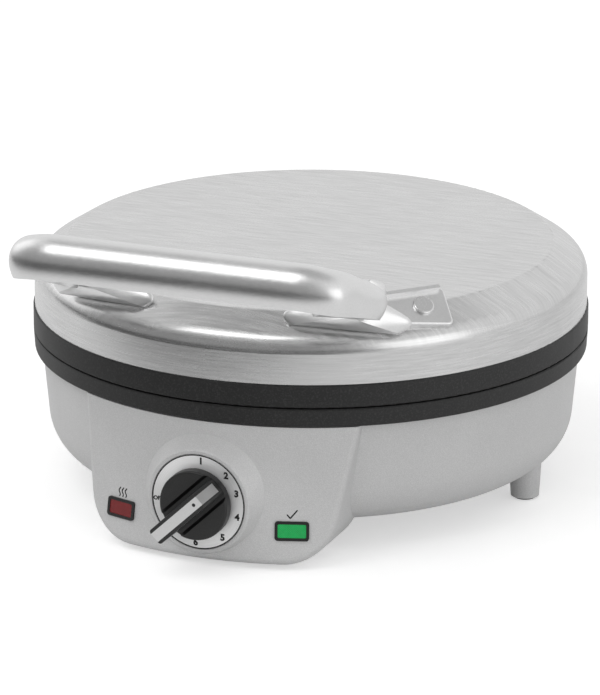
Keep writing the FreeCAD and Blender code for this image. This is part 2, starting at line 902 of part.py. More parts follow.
def clamp_screw_points():
    """Points on the back of the plate where the clamp screws enter."""
    points = []
    for angle in clamp_angles:
        for side in (-1, 1):
            place = element_loop_radius + side * clamp_screw_offset
            points.append(around(place, angle, plate_back_height))
    return points


def lower_element_clamps():
    top = plate_back_height
    low = top - element_radius - element_radius
    outline = strap_outline(element_radius, clamp_half_span, top, low, clamp_sheet)
    clamps = []
    for angle in clamp_angles:
        place = lambda u, v: Vector(element_loop_radius + u, -clamp_width / 2, v)
        strap = pulled(outline, place, back * clamp_width)
        strap = strap.cut(element_passage())
        for side in (-1, 1):
            start = Vector(element_loop_radius + side * clamp_screw_offset, 0, top - clamp_sheet)
            strap = strap.cut(rod(screw_radius + screw_hole_fit, clamp_sheet, start, up))
        strap.rotate(Vector(), up, angle)
        clamps.append(strap)
    return Part.makeCompound(clamps)


def element_passage():
    """Room that the round loop of the element takes."""
    return Part.makeTorus(element_loop_radius, element_radius, Vector(0, 0, element_height))


def lower_clamp_screws():
    screws = []
    for start in clamp_screw_points():
        seat = start + down * clamp_sheet
        head = rod(screw_head_radius, screw_head_height, seat, down)
        screws.append(head.fuse(rod(screw_radius, clamp_sheet + clamp_screw_bite, seat, up)))
    return Part.makeCompound(screws)


def lower_reflector():
    line = [
        (reflector_flange_radius, flange_under),
        (reflector_root_radius, flange_under),
        (reflector_floor_radius, reflector_floor),
        (0, reflector_floor),
    ]
    inner_radii = (0, 0, reflector_fillet, 0)
    outer_radii = (0, 0, reflector_fillet + reflector_sheet, 0)
    low_line = inset_line(line[::-1], reflector_sheet)[::-1]
    corners = [(u, v, radius) for (u, v), radius in zip(line, inner_radii)]
    under = [(u, v, radius) for (u, v), radius in zip(low_line, outer_radii)]
    dish = turned(corners + under[::-1])
    cuts = [plate_screw_hole(angle) for angle in plate_screw_angles]
    for side in (-1, 1):
        start = Vector(side * element_leg_spread, -element_loop_radius, element_height)
        cuts.append(rod(reflector_leg_hole, ring_radius - element_loop_radius, start, front))
    return dish.cut(cuts).removeSplitter()


def lower_thermal_fuse():
    """Small cut-out held under the plate by a strap."""
    middle = Vector(fuse_place_x, 0, plate_back_height - fuse_radius)
    body = rod(fuse_radius, fuse_length, middle - back * (fuse_length / 2), back)
    top = plate_back_height
    low = top - fuse_radius - fuse_radius
    outline = strap_outline(fuse_radius - fuse_seat, fuse_strap_span, top, low, fuse_strap)
    place = lambda u, v: Vector(fuse_place_x + u, -fuse_strap_width / 2, v)
    strap = pulled(outline, place, back * fuse_strap_width)
    return body.fuse(strap).removeSplitter()


def housing_screws():
    screws = []
    for angle in boss_angles:
        seat = around(boss_place, angle, boss_split_height - boss_web)
        head = rod(screw_head_radius, screw_head_height, seat, down)
        screws.append(head.fuse(rod(screw_radius, boss_web + housing_screw_bite, seat, up)))
    return Part.makeCompound(screws)


def lid_screws():
    screws = []
    for angle in cover_post_angles:
        seat = around(cover_post_place, angle, upper_ring_bottom + cover_screw_sink)
        head = rod(screw_head_radius, cover_screw_head_height, seat, down)
        length = upper_web_top + cover_screw_bite - seat.z
        screws.append(head.fuse(rod(screw_radius, length, seat, up)))
    return Part.makeCompound(screws)


def hinge_point(x):
    return Vector(x, hinge_reach, hinge_height)


def hinge_screw_seat(wall_radius):
    """Distance of the flat seat for a hinge screw head, inside a round wall."""
    return math.sqrt(wall_radius ** 2 - (hinge_screw_place + hinge_seat_radius) ** 2) - hinge_seat_wall


def hinge_screw(side, on_lid, fit, wall_radius):
    """Hinge screw, or with a fit the room cut for it in the wall."""
    height = seam_height + (hinge_arm_low + hinge_arm_high) / 2 if on_lid else hinge_screw_height
    seat = Vector(side * hinge_screw_place, hinge_screw_seat(wall_radius), height)
    shank = rod(screw_radius + fit, hinge_seat_wall + hinge_screw_bite, seat, back)
    head_radius = screw_head_radius + fit
    head = rod(head_radius, screw_head_height + fit, seat, front)
    if fit > 0:
        head = rod(head_radius, ring_wall + housing_wall, seat, front)
    return head.fuse(shank)


def hinge_screws_on(on_lid, wall_radius):
    return Part.makeCompound([hinge_screw(side, on_lid, 0, wall_radius) for side in (-1, 1)])


def base_hinge_bracket():
    """Bracket on the back of the housing with two ears for the hinge pin."""
    outline = [
        (hinge_block_root, hinge_block_floor, 0),
        (hinge_block_reach, hinge_block_floor, hinge_ear_radius),
        (hinge_block_reach, hinge_block_top, hinge_edge_radius),
        (hinge_block_root, hinge_block_top, 0),
    ]
    place = lambda u, v: Vector(-hinge_half_width, u, v)
    block = pulled(outline, place, right * (hinge_half_width + hinge_half_width))
    ears = []
    for start_x in (-hinge_half_width, hinge_half_width - hinge_ear_width):
        ear = [
            (hinge_reach - hinge_ear_radius, hinge_block_floor + hinge_ear_radius, 0),
            (hinge_reach + hinge_ear_radius, hinge_block_floor + hinge_ear_radius, 0),
            (hinge_reach + hinge_ear_radius, hinge_height, 0),
            (hinge_reach - hinge_ear_radius, hinge_height, 0),
        ]
        travel = right * hinge_ear_width
        ears.append(pulled(ear, lambda u, v: Vector(start_x, u, v), travel))
        ears.append(rod(hinge_ear_radius, hinge_ear_width, hinge_point(start_x), right))
    bracket = block.multiFuse(ears)
    bracket = bracket.cut(bowl_solid(0, lower_ring_bottom))
    room_start = Vector(0, 0, lower_ring_bottom - hinge_ring_gap)
    bracket = bracket.cut(rod(ring_radius + hinge_ring_gap, long_cut, room_start, up))
    bracket = bracket.cut(rod(hinge_pin_radius, long_cut, hinge_point(-long_cut / 2), right))
    for side in (-1, 1):
        bracket = bracket.cut(hinge_screw(side, False, 0, bowl_top_radius))
    return bracket.removeSplitter()


def lid_hinge_arm():
    """Arm on the back of the lid ring with the knuckle that turns on the hinge pin."""
    half = hinge_half_width - hinge_ear_width - hinge_side_gap
    low = seam_height + hinge_arm_low
    high = seam_height + hinge_arm_high
    outline = [
        (hinge_block_root, low, 0),
        (hinge_reach, low, 0),
        (hinge_reach, high, hinge_edge_radius),
        (hinge_block_root, high, 0),
    ]
    arm = pulled(outline, lambda u, v: Vector(-half, u, v), right * (half + half))
    knuckle = rod(hinge_knuckle_radius, half + half, hinge_point(-half), right)
    arm = arm.fuse(knuckle)
    arm = arm.cut(rod(ring_radius, long_cut, Vector(), up))
    arm = arm.cut(rod(hinge_pin_radius + hinge_pin_fit, long_cut, hinge_point(-long_cut / 2), right))
    for side in (-1, 1):
        arm = arm.cut(hinge_screw(side, True, 0, ring_radius))
    return arm.removeSplitter()


def hinge_pin():
    length = hinge_half_width + hinge_half_width
    pin = rod(hinge_pin_radius, length, hinge_point(-hinge_half_width), right)
    heads = []
    for start_x in (hinge_half_width, -hinge_half_width - hinge_pin_head):
        heads.append(rod(hinge_pin_head_radius, hinge_pin_head, hinge_point(start_x), right))
    return pin.multiFuse(heads).removeSplitter()


def handle_section(index, side):
    """Closed outline of the handle at one place: a round top over a flat underside."""
    turn = math.radians(arm_turns[index])
    dip = math.radians(arm_dips[index])
    lean = math.radians(arm_leans[index])
    along = Vector(math.cos(turn) * math.cos(dip), math.sin(turn) * math.cos(dip), -math.sin(dip))
    level = Vector(math.sin(turn), -math.cos(turn), 0)
    upright_way = level.cross(along)
    outward = level * math.cos(lean) - upright_way * math.sin(lean)
    rise = upright_way * math.cos(lean) + level * math.sin(lean)
    bend = min(turn, math.radians(quarter_turn))
    grip_run = (handle_half_span - arm_bend) * grip_run_shares[index]
    arm_run = (arm_back_reach - arm_bend) * arm_run_shares[index]
    centre = Vector(
        grip_run + arm_bend * math.sin(bend) - arm_tuck * arm_tuck_shares[index],
        arm_run + arm_bend * (1 - math.cos(bend)) - handle_reach,
        handle_height - arm_fall * arm_fall_shares[index],
    )
    depth = handle_half_depth * arm_depth_shares[index]
    top = handle_top_rise * arm_rise_shares[index]
    under = handle_under_drop * arm_under_shares[index]

    def spot(out, height):
        point = centre + outward * out + rise * height
        return Vector(side * point.x, point.y, point.z)

    def flank(way):
        curve = Part.BezierCurve()
        curve.setPoles([
            spot(way * depth * grip_edge_share, -under),
            spot(way * depth * grip_bulge_share, top * grip_bulge_rise_share),
            spot(way * depth * grip_crown_share, top),
            spot(0, top),
        ])
        return curve.toShape()

    edge = depth * grip_edge_share
    return Part.Wire([flank(1), flank(-1), Part.makeLine(spot(-edge, -under), spot(edge, -under))])


def tab_placement():
    """Place of the right handle tab on the shoulder: local X along it, local Y up the slope."""
    slope = math.radians(tab_lean)
    turn = math.radians(tab_place_angle)
    outward = Vector(math.cos(turn), -math.sin(turn), 0)
    normal = outward * math.sin(slope) + up * math.cos(slope)
    uphill = outward * -math.cos(slope) + up * math.sin(slope)
    turned_way = Rotation(uphill.cross(normal), uphill, normal, "XYZ")
    return Placement(outward * tab_place_radius + up * tab_height, turned_way)


def on_both_tabs(shape):
    """Shape drawn at a handle tab, put on the right tab and mirrored to the left one."""
    shape.Placement = tab_placement()
    return [shape, shape.mirror(Vector(), right)]


def tab_solid():
    """Flat foot of the handle with a low lip at its upper edge, before it is cut to the lid."""
    outline = [
        (-tab_root, -tab_root_down, tab_corner),
        (-tab_end, -tab_root_down, tab_corner),
        (tab_end - tab_taper, -tab_down, tab_corner),
        (tab_end, tab_up, tab_corner),
        (-tab_root, tab_up, tab_corner),
    ]
    body = pulled(outline, lambda u, v: Vector(u, v, -tab_depth), up * (tab_depth + tab_rise))
    rim = [edge for edge in body.Edges if abs(edge.BoundBox.ZMin - tab_rise) < near]
    body = body.makeFillet(tab_edge, rim)
    low = Vector(-tab_lip_root, tab_up - tab_lip_width, 0)
    high = Vector(tab_end - tab_corner, tab_up, tab_rise + tab_lip_rise)
    return body.fuse(slab(low, high))


def handle_bar():
    """One smooth casting from the left neck through the grip to the right neck."""
    last = len(arm_turns) - 1
    order = [(index, -1) for index in range(last, 0, -1)] + [(index, 1) for index in range(last + 1)]
    sections = [handle_section(index, side) for index, side in order]
    return Part.makeLoft(sections, True, False, False, loft_degree)


def lid_handle():
    casting = handle_bar().multiFuse(on_both_tabs(tab_solid()))
    casting = casting.cut(cover_envelope())
    return casting.cut(on_both_tabs(rivet_shank())).removeSplitter()


def rivet_shank():
    return rod(rivet_shank_radius, rivet_reach + tab_rise, Vector(0, 0, -rivet_reach), up)


def handle_backing_plates():
    """Curved washers inside the cover, behind the handle tabs."""
    plate = rod(backing_radius, backing_depth + tab_rise, Vector(0, 0, -backing_depth - cover_sheet), up)
    room = cover_hollow()
    plates = [washer.common(room) for washer in on_both_tabs(plate.cut(rivet_shank()))]
    return Part.makeCompound(plates)


def handle_rivets():
    head = rod(rivet_head_radius, rivet_head_height, Vector(0, 0, tab_rise), up)
    rim = [edge for edge in head.Edges if edge.BoundBox.ZMin > tab_rise + rivet_head_height - near]
    head = head.makeFillet(rivet_head_edge, rim)
    low = -backing_depth - cover_sheet
    shank = rod(rivet_shank_radius, tab_rise - low, Vector(0, 0, low), up)
    tail = rod(rivet_tail_radius, rivet_tail_height, Vector(0, 0, low - rivet_tail_height), up)
    return Part.makeCompound(on_both_tabs(head.multiFuse([shank, tail])))


def dial_ring():
    ring = rod(dial_ring_radius, dial_ring_sheet, dial_point(dial_seat_reach), front)
    return ring.cut(rod(dial_ring_opening, dial_ring_sheet, dial_point(dial_seat_reach), front))


def thermostat():
    half = thermostat_width / 2
    low = Vector(-half, -boss_back_reach, dial_height - thermostat_height / 2)
    high = Vector(half, -thermostat_back, dial_height + thermostat_height / 2)
    body = slab(low, high)
    bushing = rod(bushing_radius, bushing_length, dial_point(boss_back_reach), front)
    body = body.fuse(bushing)
    start = dial_point(boss_back_reach - shaft_back)
    return body.cut(rod(shaft_radius + shaft_fit, long_cut, start, front)).removeSplitter()


def thermostat_nut():
    corner = nut_width / 2 / math.cos(math.radians(half_turn / nut_sides))
    points = []
    for index in range(nut_sides):
        spot = around(corner, index * full_turn / nut_sides, 0)
        points.append((spot.x, spot.y, 0))
    place = lambda u, v: Vector(u, -dial_seat_reach, dial_height + v)
    nut = pulled(points, place, front * nut_thickness)
    return nut.cut(rod(bushing_radius, nut_thickness, dial_point(dial_seat_reach), front))


def knob_placement():
    """Place of the knob: local X along the pointer and local Z out of the dial."""
    turn = Rotation(right, quarter_turn) * Rotation(up, knob_turn)
    return Placement(dial_point(dial_reach), turn)


def knob_bar():
    """Tapered grip bar of the knob."""
    wires = []
    for length, width, level in (
        (knob_bar_length, knob_bar_width, knob_gap),
        (knob_bar_top_length, knob_bar_top_width, knob_bar_height),
    ):
        corners = [
            (-length / 2, -width / 2, knob_bar_corner),
            (length / 2, -width / 2, knob_bar_corner),
            (length / 2, width / 2, knob_bar_corner),
            (-length / 2, width / 2, knob_bar_corner),
        ]
        wires.append(corner_wire(corners, lambda u, v: Vector(u, v, level)))
    return Part.makeLoft(wires, True, True)


def inlay_outline(grow):
    """Side view of the inlay: along the top of the bar and down its pointing end."""
    top = knob_bar_height
    tip = knob_bar_top_length / 2
    slant = (knob_bar_length - knob_bar_top_length) / 2 / (knob_bar_height - knob_gap)
    return [
        (-tip - grow, top - inlay_sheet, 0),
        (tip - inlay_sheet, top - inlay_sheet, 0),
        (tip - inlay_sheet + slant * inlay_drop, top - inlay_drop, 0),
        (tip + grow + slant * inlay_drop, top - inlay_drop, 0),
        (tip + grow, top + grow, 0),
        (-tip - grow, top + grow, 0),
    ]


def inlay_solid(grow):
    place = lambda u, v: Vector(u, -inlay_width / 2, v)
    return pulled(inlay_outline(grow), place, back * inlay_width)


def control_knob():
    disc = rod(knob_radius, knob_disc_height, up * knob_gap, up)
    rim = [edge for edge in disc.Edges if edge.BoundBox.ZMin > knob_gap + knob_disc_height - near]
    disc = disc.makeFillet(knob_edge_radius, rim)
    top = knob_gap + knob_disc_height
    half = knob_channel_width / 2
    channel = [
        (-half, top - knob_channel_depth, 0),
        (half, top - knob_channel_depth, 0),
        (half + knob_channel_slope, top, 0),
        (-half - knob_channel_slope, top, 0),
    ]
    place = lambda u, v: Vector(-knob_radius, u, v)
    disc = disc.cut(pulled(channel, place, right * (knob_radius + knob_radius)))
    knob = disc.fuse(knob_bar())
    knob = knob.cut(inlay_solid(inlay_sheet))
    knob = knob.cut(rod(knob_well_radius, knob_well_depth, up * knob_gap, up))
    socket = shaft_length - shaft_back - (dial_reach - boss_back_reach)
    knob = knob.cut(shaft_round(up * knob_gap, socket - knob_gap))
    knob = knob.cut(clip_slab(knob_well_depth + knob_gap))
    knob = knob.removeSplitter()
    knob.Placement = knob_placement()
    return knob


def shaft_round(start, length):
    """Shaft with a flat on one side."""
    bar = rod(shaft_radius, length, start, up)
    low = Vector(shaft_radius - shaft_flat, -shaft_radius, start.z)
    high = Vector(shaft_radius, shaft_radius, start.z + length)
    return bar.cut(slab(low, high))


def clip_slab(start):
    """Flat spring between the shaft's flat and the knob."""
    low = Vector(shaft_radius - shaft_flat, -clip_width / 2, start)
    high = Vector(shaft_radius - shaft_flat + clip_sheet, clip_width / 2, start + clip_length)
    return slab(low, high)


def knob_clip():
    clip = clip_slab(knob_well_depth + knob_gap)
    clip.Placement = knob_placement()
    return clip


def knob_inlay():
    inlay = inlay_solid(0)
    inlay.Placement = knob_placement()
    return inlay


def thermostat_shaft():
    start = -(dial_reach - boss_back_reach) - shaft_back + shaft_fit
    whole = rod(shaft_radius, knob_gap - start, up * start, up)
    socket = shaft_length - shaft_back - (dial_reach - boss_back_reach)
    shaft = whole.fuse(shaft_round(up * knob_gap, socket - knob_gap)).removeSplitter()
    shaft.Placement = knob_placement()
    return shaft


def window_frames():
    frames = []
    for side in (-1, 1):
        width = window_frame_width
        height = window_frame_height
        inner_width = width - window_frame_rim - window_frame_rim
        inner_height = height - window_frame_rim - window_frame_rim
        body_width = width - window_frame_rim - window_fit
        body_height = height - window_frame_rim - window_fit
        top = window_frame_proud
        flange = window_block(width, height, window_corner, -housing_wall, top, side)
        flange = flange.cut(pod_solid(0))
        body = window_block(body_width, body_height, window_corner, -window_frame_depth, top, side)
        hole = window_block(inner_width, inner_height, window_corner / 2, -long_cut, long_cut, side)
        frames.append(flange.fuse(body).cut(hole).removeSplitter())
    return Part.makeCompound(frames)


def window_lens(side):
    inner_width = window_frame_width - window_frame_rim - window_frame_rim
    inner_height = window_frame_height - window_frame_rim - window_frame_rim
    return window_block(inner_width, inner_height, window_corner / 2, -lens_depth, lens_proud, side)


def indicator_lamps():
    lamps = []
    for side in (-1, 1):
        lamp = rod(lamp_radius, lamp_length, down * (lens_depth + lamp_length), up)
        rim = [edge for edge in lamp.Edges if edge.BoundBox.ZMin > -lens_depth - near]
        lamp = lamp.makeFillet(lamp_tip, rim)
        lamp.Placement = window_frame_placement(side)
        lamps.append(lamp)
    return Part.makeCompound(lamps)


def terminal_block():
    half = block_width / 2
    low = Vector(-half, block_place_y, housing_floor_top)
    high = Vector(half, block_place_y + block_depth, housing_floor_top + block_height)
    block = slab(low, high)
    for step in (-1, 0, 1):
        start = Vector(step * block_step, block_place_y + block_depth / 2, high.z)
        block = block.cut(rod(block_well_radius, block_well_depth, start, down))
    return block


def gland_point(reach):
    return Vector(0, reach, gland_height)


def gland_wall_radius():
    """Outer radius of the housing wall at the height of the mains lead."""
    share = (gland_height - bowl_floor_height) / (lower_ring_bottom - bowl_floor_height)
    return bowl_foot_radius + (bowl_top_radius - bowl_foot_radius) * share


def cord_gland():
    """Bush for the mains lead in the back wall of the housing."""
    wall = gland_wall_radius()
    root = wall - gland_root_depth
    body = rod(gland_body_radius, gland_root_depth + gland_tail, gland_point(root), back)
    flange = rod(gland_flange_radius, gland_flange + housing_wall, gland_point(wall - housing_wall), back)
    flange = flange.cut(bowl_solid(0, lower_ring_bottom))
    tip = Part.makeCone(gland_body_radius, gland_tip_radius, gland_tail, gland_point(wall), back)
    gland = body.common(bowl_solid(0, lower_ring_bottom)).multiFuse([flange, tip])
    return gland.cut(rod(gland_bore_radius, long_cut, gland_point(0), back)).removeSplitter()


def wiring():
    pin_tip = element_leg_reach + element_pin_length
    left_pin = Vector(-element_leg_spread, -pin_tip, element_height)
    right_pin = Vector(element_leg_spread, -pin_tip, element_height)
    back_face = -thermostat_back
    left_tag = Vector(-wire_spread, back_face, dial_height + wire_rise)
    right_tag = Vector(wire_spread, back_face, dial_height - wire_rise)
    first = [left_tag, left_tag + back * wire_bow, left_pin + front * wire_bow, left_pin]
    right_turn = right_pin + front * wire_bow
    second = [
        Vector(block_step, block_place_y, wire_floor),
        Vector(block_step, block_place_y - wire_bow, wire_floor),
        Vector(element_leg_spread + wire_bow, -element_loop_radius, wire_floor + wire_rise),
        Vector(right_turn.x, right_turn.y, wire_floor + wire_rise),
        right_turn,
        right_pin,
    ]
    third = [
        Vector(-block_step, block_place_y, wire_floor),
        Vector(-block_step, -element_loop_radius, wire_floor),
        right_tag + back * wire_bow,
        right_tag,
    ]
    return Part.makeCompound([tube(points, wire_radius, wire_bend) for points in (first, second, third)])


def pieces():
    """Every piece by name, standing on the table and centred on the ring axis."""
    made = {
        "base_housing": base_housing(),
        "base_ring": base_ring(),
        "lower_baking_plate": lower_baking_plate(),
        "lower_heating_element": lower_heating_element(),
        "lower_element_clamps": lower_element_clamps(),
        "lower_clamp_screws": lower_clamp_screws(),
        "lower_reflector": lower_reflector(),
        "lower_plate_screws": lower_plate_screws(),
        "lower_thermal_fuse": lower_thermal_fuse(),
        "housing_screws": housing_screws(),
        "rubber_feet": rubber_feet(),
        "thermostat": thermostat(),
        "thermostat_nut": thermostat_nut(),
        "dial_ring": dial_ring(),
        "window_frames": window_frames(),
        "red_lens": window_lens(-1),
        "green_lens": window_lens(1),
        "indicator_lamps": indicator_lamps(),
        "terminal_block": terminal_block(),
        "cord_gland": cord_gland(),
        "wiring": wiring(),
        "base_hinge_bracket": base_hinge_bracket(),
        "base_hinge_screws": hinge_screws_on(False, bowl_top_radius),
        "hinge_pin": hinge_pin(),
        "lid_cover": lid_cover(),
        "lid_ring": lid_ring(),
        "lid_screws": lid_screws(),
        "lid_handle": lid_handle(),
        "handle_rivets": handle_rivets(),
        "handle_backing_plates": handle_backing_plates(),
        "lid_hinge_arm": lid_hinge_arm(),
        "lid_hinge_screws": hinge_screws_on(True, ring_radius),
        "control_knob": control_knob(),
        "knob_inlay": knob_inlay(),
        "knob_clip": knob_clip(),
        "thermostat_shaft": thermostat_shaft(),
    }
    for name in ("baking_plate", "heating_element", "element_clamps", "clamp_screws", "reflector",
                 "plate_screws", "thermal_fuse"):
        made["upper_" + name] = to_upper(made["lower_" + name])
    return made


def main():
    os.makedirs("parts", exist_ok=True)
    for name, shape in pieces().items():
        shape.translate(back * axis_y)
        shape.exportStep("parts/" + name + ".step")


if __name__ == "__main__":
    main()
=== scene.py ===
"""Dresses the round waffle maker: finishes on its solids, printed marks, studio light and camera."""

import json
import logging
import math
from abc import ABC, abstractmethod
from dataclasses import dataclass
from enum import Enum
from typing import Any

import bmesh
import bpy
import numpy as np
from mathutils import Matrix, Vector


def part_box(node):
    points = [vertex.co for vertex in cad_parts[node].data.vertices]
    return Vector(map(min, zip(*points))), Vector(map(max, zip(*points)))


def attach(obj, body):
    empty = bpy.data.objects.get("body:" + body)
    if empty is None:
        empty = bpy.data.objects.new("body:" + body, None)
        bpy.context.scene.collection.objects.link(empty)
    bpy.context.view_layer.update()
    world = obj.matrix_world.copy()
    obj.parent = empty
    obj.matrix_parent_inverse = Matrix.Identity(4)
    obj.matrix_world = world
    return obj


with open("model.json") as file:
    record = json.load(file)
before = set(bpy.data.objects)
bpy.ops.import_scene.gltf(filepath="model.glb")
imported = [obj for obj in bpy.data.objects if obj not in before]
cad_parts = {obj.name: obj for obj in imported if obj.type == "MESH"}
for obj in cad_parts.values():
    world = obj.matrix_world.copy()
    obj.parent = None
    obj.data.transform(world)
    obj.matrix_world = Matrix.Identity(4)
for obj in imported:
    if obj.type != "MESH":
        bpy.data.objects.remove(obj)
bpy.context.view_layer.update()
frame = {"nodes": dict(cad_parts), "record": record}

log = logging.getLogger("waffle_maker")

Colour = tuple[float, float, float]
MILLIMETRE = 0.001
MERGE = 1e-7
WHITE = (1.0, 1.0, 1.0, 1.0)


class Body(Enum):
    """Bodies of the part that pieces ride on."""

    BASE = "base"
    LID = "lid"
    KNOB = "knob"


def display(level: float) -> float:
    """Linear value of a grey that a screen shows at a level from 0 to 255."""
    share = level / 255
    return share / 12.92 if share <= 0.04045 else ((share + 0.055) / 1.055) ** 2.4


def grey(level: float) -> Colour:
    """Neutral colour that a screen shows at a level from 0 to 255."""
    return (display(level),) * 3


def colour(red: float, green: float, blue: float) -> Colour:
    """Colour that a screen shows at levels from 0 to 255."""
    return display(red), display(green), display(blue)


def scaled(tint: Colour, factor: float, lift: float = 0.0) -> Colour:
    """Lighter or darker version of a colour.

    Args:
        tint: Colour to change.
        factor: What each part is multiplied by.
        lift: What is added to each part after that.

    Returns:
        The colour, with no part above 1.
    """
    red, green, blue = (min(1.0, part * factor + lift) for part in tint)
    return red, green, blue


class Signal:
    """One output in a shader; arithmetic on it adds Math nodes."""

    def __init__(self, shader: "Shader", socket: bpy.types.NodeSocket) -> None:
        """Keeps the shader and the socket that gives the value."""
        self.shader = shader
        self.socket = socket

    def output(self, name: str) -> "Signal":
        """Another output of the same node."""
        return Signal(self.shader, self.socket.node.outputs[name])

    def math(self, operation: str, *others: "Signal | float") -> "Signal":
        """Works out one Math node.

        Args:
            operation: Name of the node's operation.
            others: Values that follow this one on the node's sockets.

        Returns:
            The node's value.
        """
        return self.shader.node("ShaderNodeMath", {"operation": operation}, dict(enumerate((self, *others))))

    def before(self, operation: str, first: float) -> "Signal":
        """Math node with a plain number on its first socket and this value on its second."""
        return self.shader.node("ShaderNodeMath", {"operation": operation}, {0: first, 1: self})

    def __add__(self, other: "Signal | float") -> "Signal":
        """Sum."""
        return self.math("ADD", other)

    def __sub__(self, other: "Signal | float") -> "Signal":
        """Difference."""
        return self.math("SUBTRACT", other)

    def __rsub__(self, other: float) -> "Signal":
        """Difference from a plain number."""
        return self.before("SUBTRACT", other)

    def __mul__(self, other: "Signal | float") -> "Signal":
        """Product."""
        return self.math("MULTIPLY", other)

    def __truediv__(self, other: "Signal | float") -> "Signal":
        """Quotient."""
        return self.math("DIVIDE", other)

    __radd__ = __add__
    __rmul__ = __mul__

    def swing(self, weight: float) -> "Signal":
        """Weighted distance from one half, the middle of a noise."""
        return (self - 0.5) * weight

    def ramp(self, low: float, high: float) -> "Signal":
        """Smooth rise from 0 at low to 1 at high.

        Args:
            low: Value where the rise starts.
            high: Value where it ends.

        Returns:
            The share from 0 to 1.
        """
        settings = {"interpolation_type": "SMOOTHSTEP"}
        return self.shader.node("ShaderNodeMapRange", settings, {0: self, 1: low, 2: high, 3: 0.0, 4: 1.0})


class Shader:
    """Node tree of one material or of the world, written as expressions."""

    def __init__(self, tree: bpy.types.NodeTree) -> None:
        """Clears the tree and keeps it."""
        self.tree = tree
        self.tree.nodes.clear()

    def node(
        self,
        kind: str,
        settings: dict[str, Any] | None = None,
        inputs: dict[Any, Any] | None = None,
        output: int | str = 0,
    ) -> Signal | None:
        """Adds a node.

        Args:
            kind: Blender's name of the node's type.
            settings: Attributes of the node, set before its sockets.
            inputs: Values or signals by the socket's name or number.
            output: Output that is returned.

        Returns:
            The chosen output, or nothing for a node that ends the tree.
        """
        made = self.tree.nodes.new(kind)
        for name, value in (settings or {}).items():
            setattr(made, name, value)
        for key, value in (inputs or {}).items():
            if isinstance(value, Signal):
                self.tree.links.new(value.socket, made.inputs[key])
            else:
                made.inputs[key].default_value = value
        return Signal(self, made.outputs[output]) if made.outputs else None

    def point(self) -> Signal:
        """Place on the surface, in metres in the part's frame."""
        return self.node("ShaderNodeTexCoord", output="Object")

    def stretched(self, vector: Signal, scale: Colour, turn: Colour = (0.0, 0.0, 0.0)) -> Signal:
        """Vector through a Mapping node.

        Args:
            vector: Vector to place.
            scale: Factor along each axis.
            turn: Angle about each axis, in radians.

        Returns:
            The placed vector.
        """
        return self.node("ShaderNodeMapping", inputs={"Vector": vector, "Scale": scale, "Rotation": turn})

    def along(self, vector: Signal, way: Colour) -> Signal:
        """How far a vector goes along a fixed way."""
        return self.node("ShaderNodeVectorMath", {"operation": "DOT_PRODUCT"}, {0: vector, 1: way}, "Value")

    def noise(self, vector: Signal, scale: float, detail: float = 2.0, rough: float = 0.5) -> Signal:
        """Soft random value around one half.

        Args:
            vector: Place to read.
            scale: Grains for each unit of the vector.
            detail: Number of finer layers.
            rough: Weight of the finer layers.

        Returns:
            The value, mostly from 0.3 to 0.7.
        """
        inputs = {"Vector": vector, "Scale": scale, "Detail": detail, "Roughness": rough}
        return self.node("ShaderNodeTexNoise", inputs=inputs)

    def mixed(self, share: Signal, first: Signal | Colour, second: Signal | Colour) -> Signal:
        """Colour between two.

        Args:
            share: Share of the second colour.
            first: Colour at 0.
            second: Colour at 1.

        Returns:
            The mixed colour.
        """
        ends = [each if isinstance(each, Signal) else (*each, 1.0) for each in (first, second)]
        inputs = {0: share, 6: ends[0], 7: ends[1]}
        return self.node("ShaderNodeMix", {"data_type": "RGBA"}, inputs, 2)

    def bump(self, height: Signal, depth: float, strength: float = 1.0) -> Signal:
        """Normal of a fine relief.

        Args:
            height: Height from 0 to 1.
            depth: Real height of 1, in metres.
            strength: Weight of the relief.

        Returns:
            The normal.
        """
        inputs = {"Height": height, "Distance": depth, "Strength": strength}
        return self.node("ShaderNodeBump", inputs=inputs)

    def surface(self, inputs: dict[str, Any]) -> None:
        """Ends the tree with a Principled shader that has these inputs."""
        shader = self.node("ShaderNodeBsdfPrincipled", inputs=inputs)
        self.node("ShaderNodeOutputMaterial", inputs={"Surface": shader})


@dataclass(frozen=True)
class Finish(ABC):
    """A look that several pieces share."""

    name: str

    def material(self) -> bpy.types.Material:
        """The finish as a material, made at its first use."""
        name = f"{self.name}_look"
        found = bpy.data.materials.get(name)
        if found is not None:
            return found
        made = bpy.data.materials.new(name)
        made.use_nodes = True
        self.paint(Shader(made.node_tree))
        return made

    @abstractmethod
    def paint(self, shader: Shader) -> None:
        """Writes the look into an empty tree."""

    def dress(self, piece: bpy.types.Object) -> None:
        """Puts the finish on every slot of a piece."""
        if not piece.material_slots:
            piece.data.materials.append(None)
        for slot in piece.material_slots:
            slot.material = self.material()


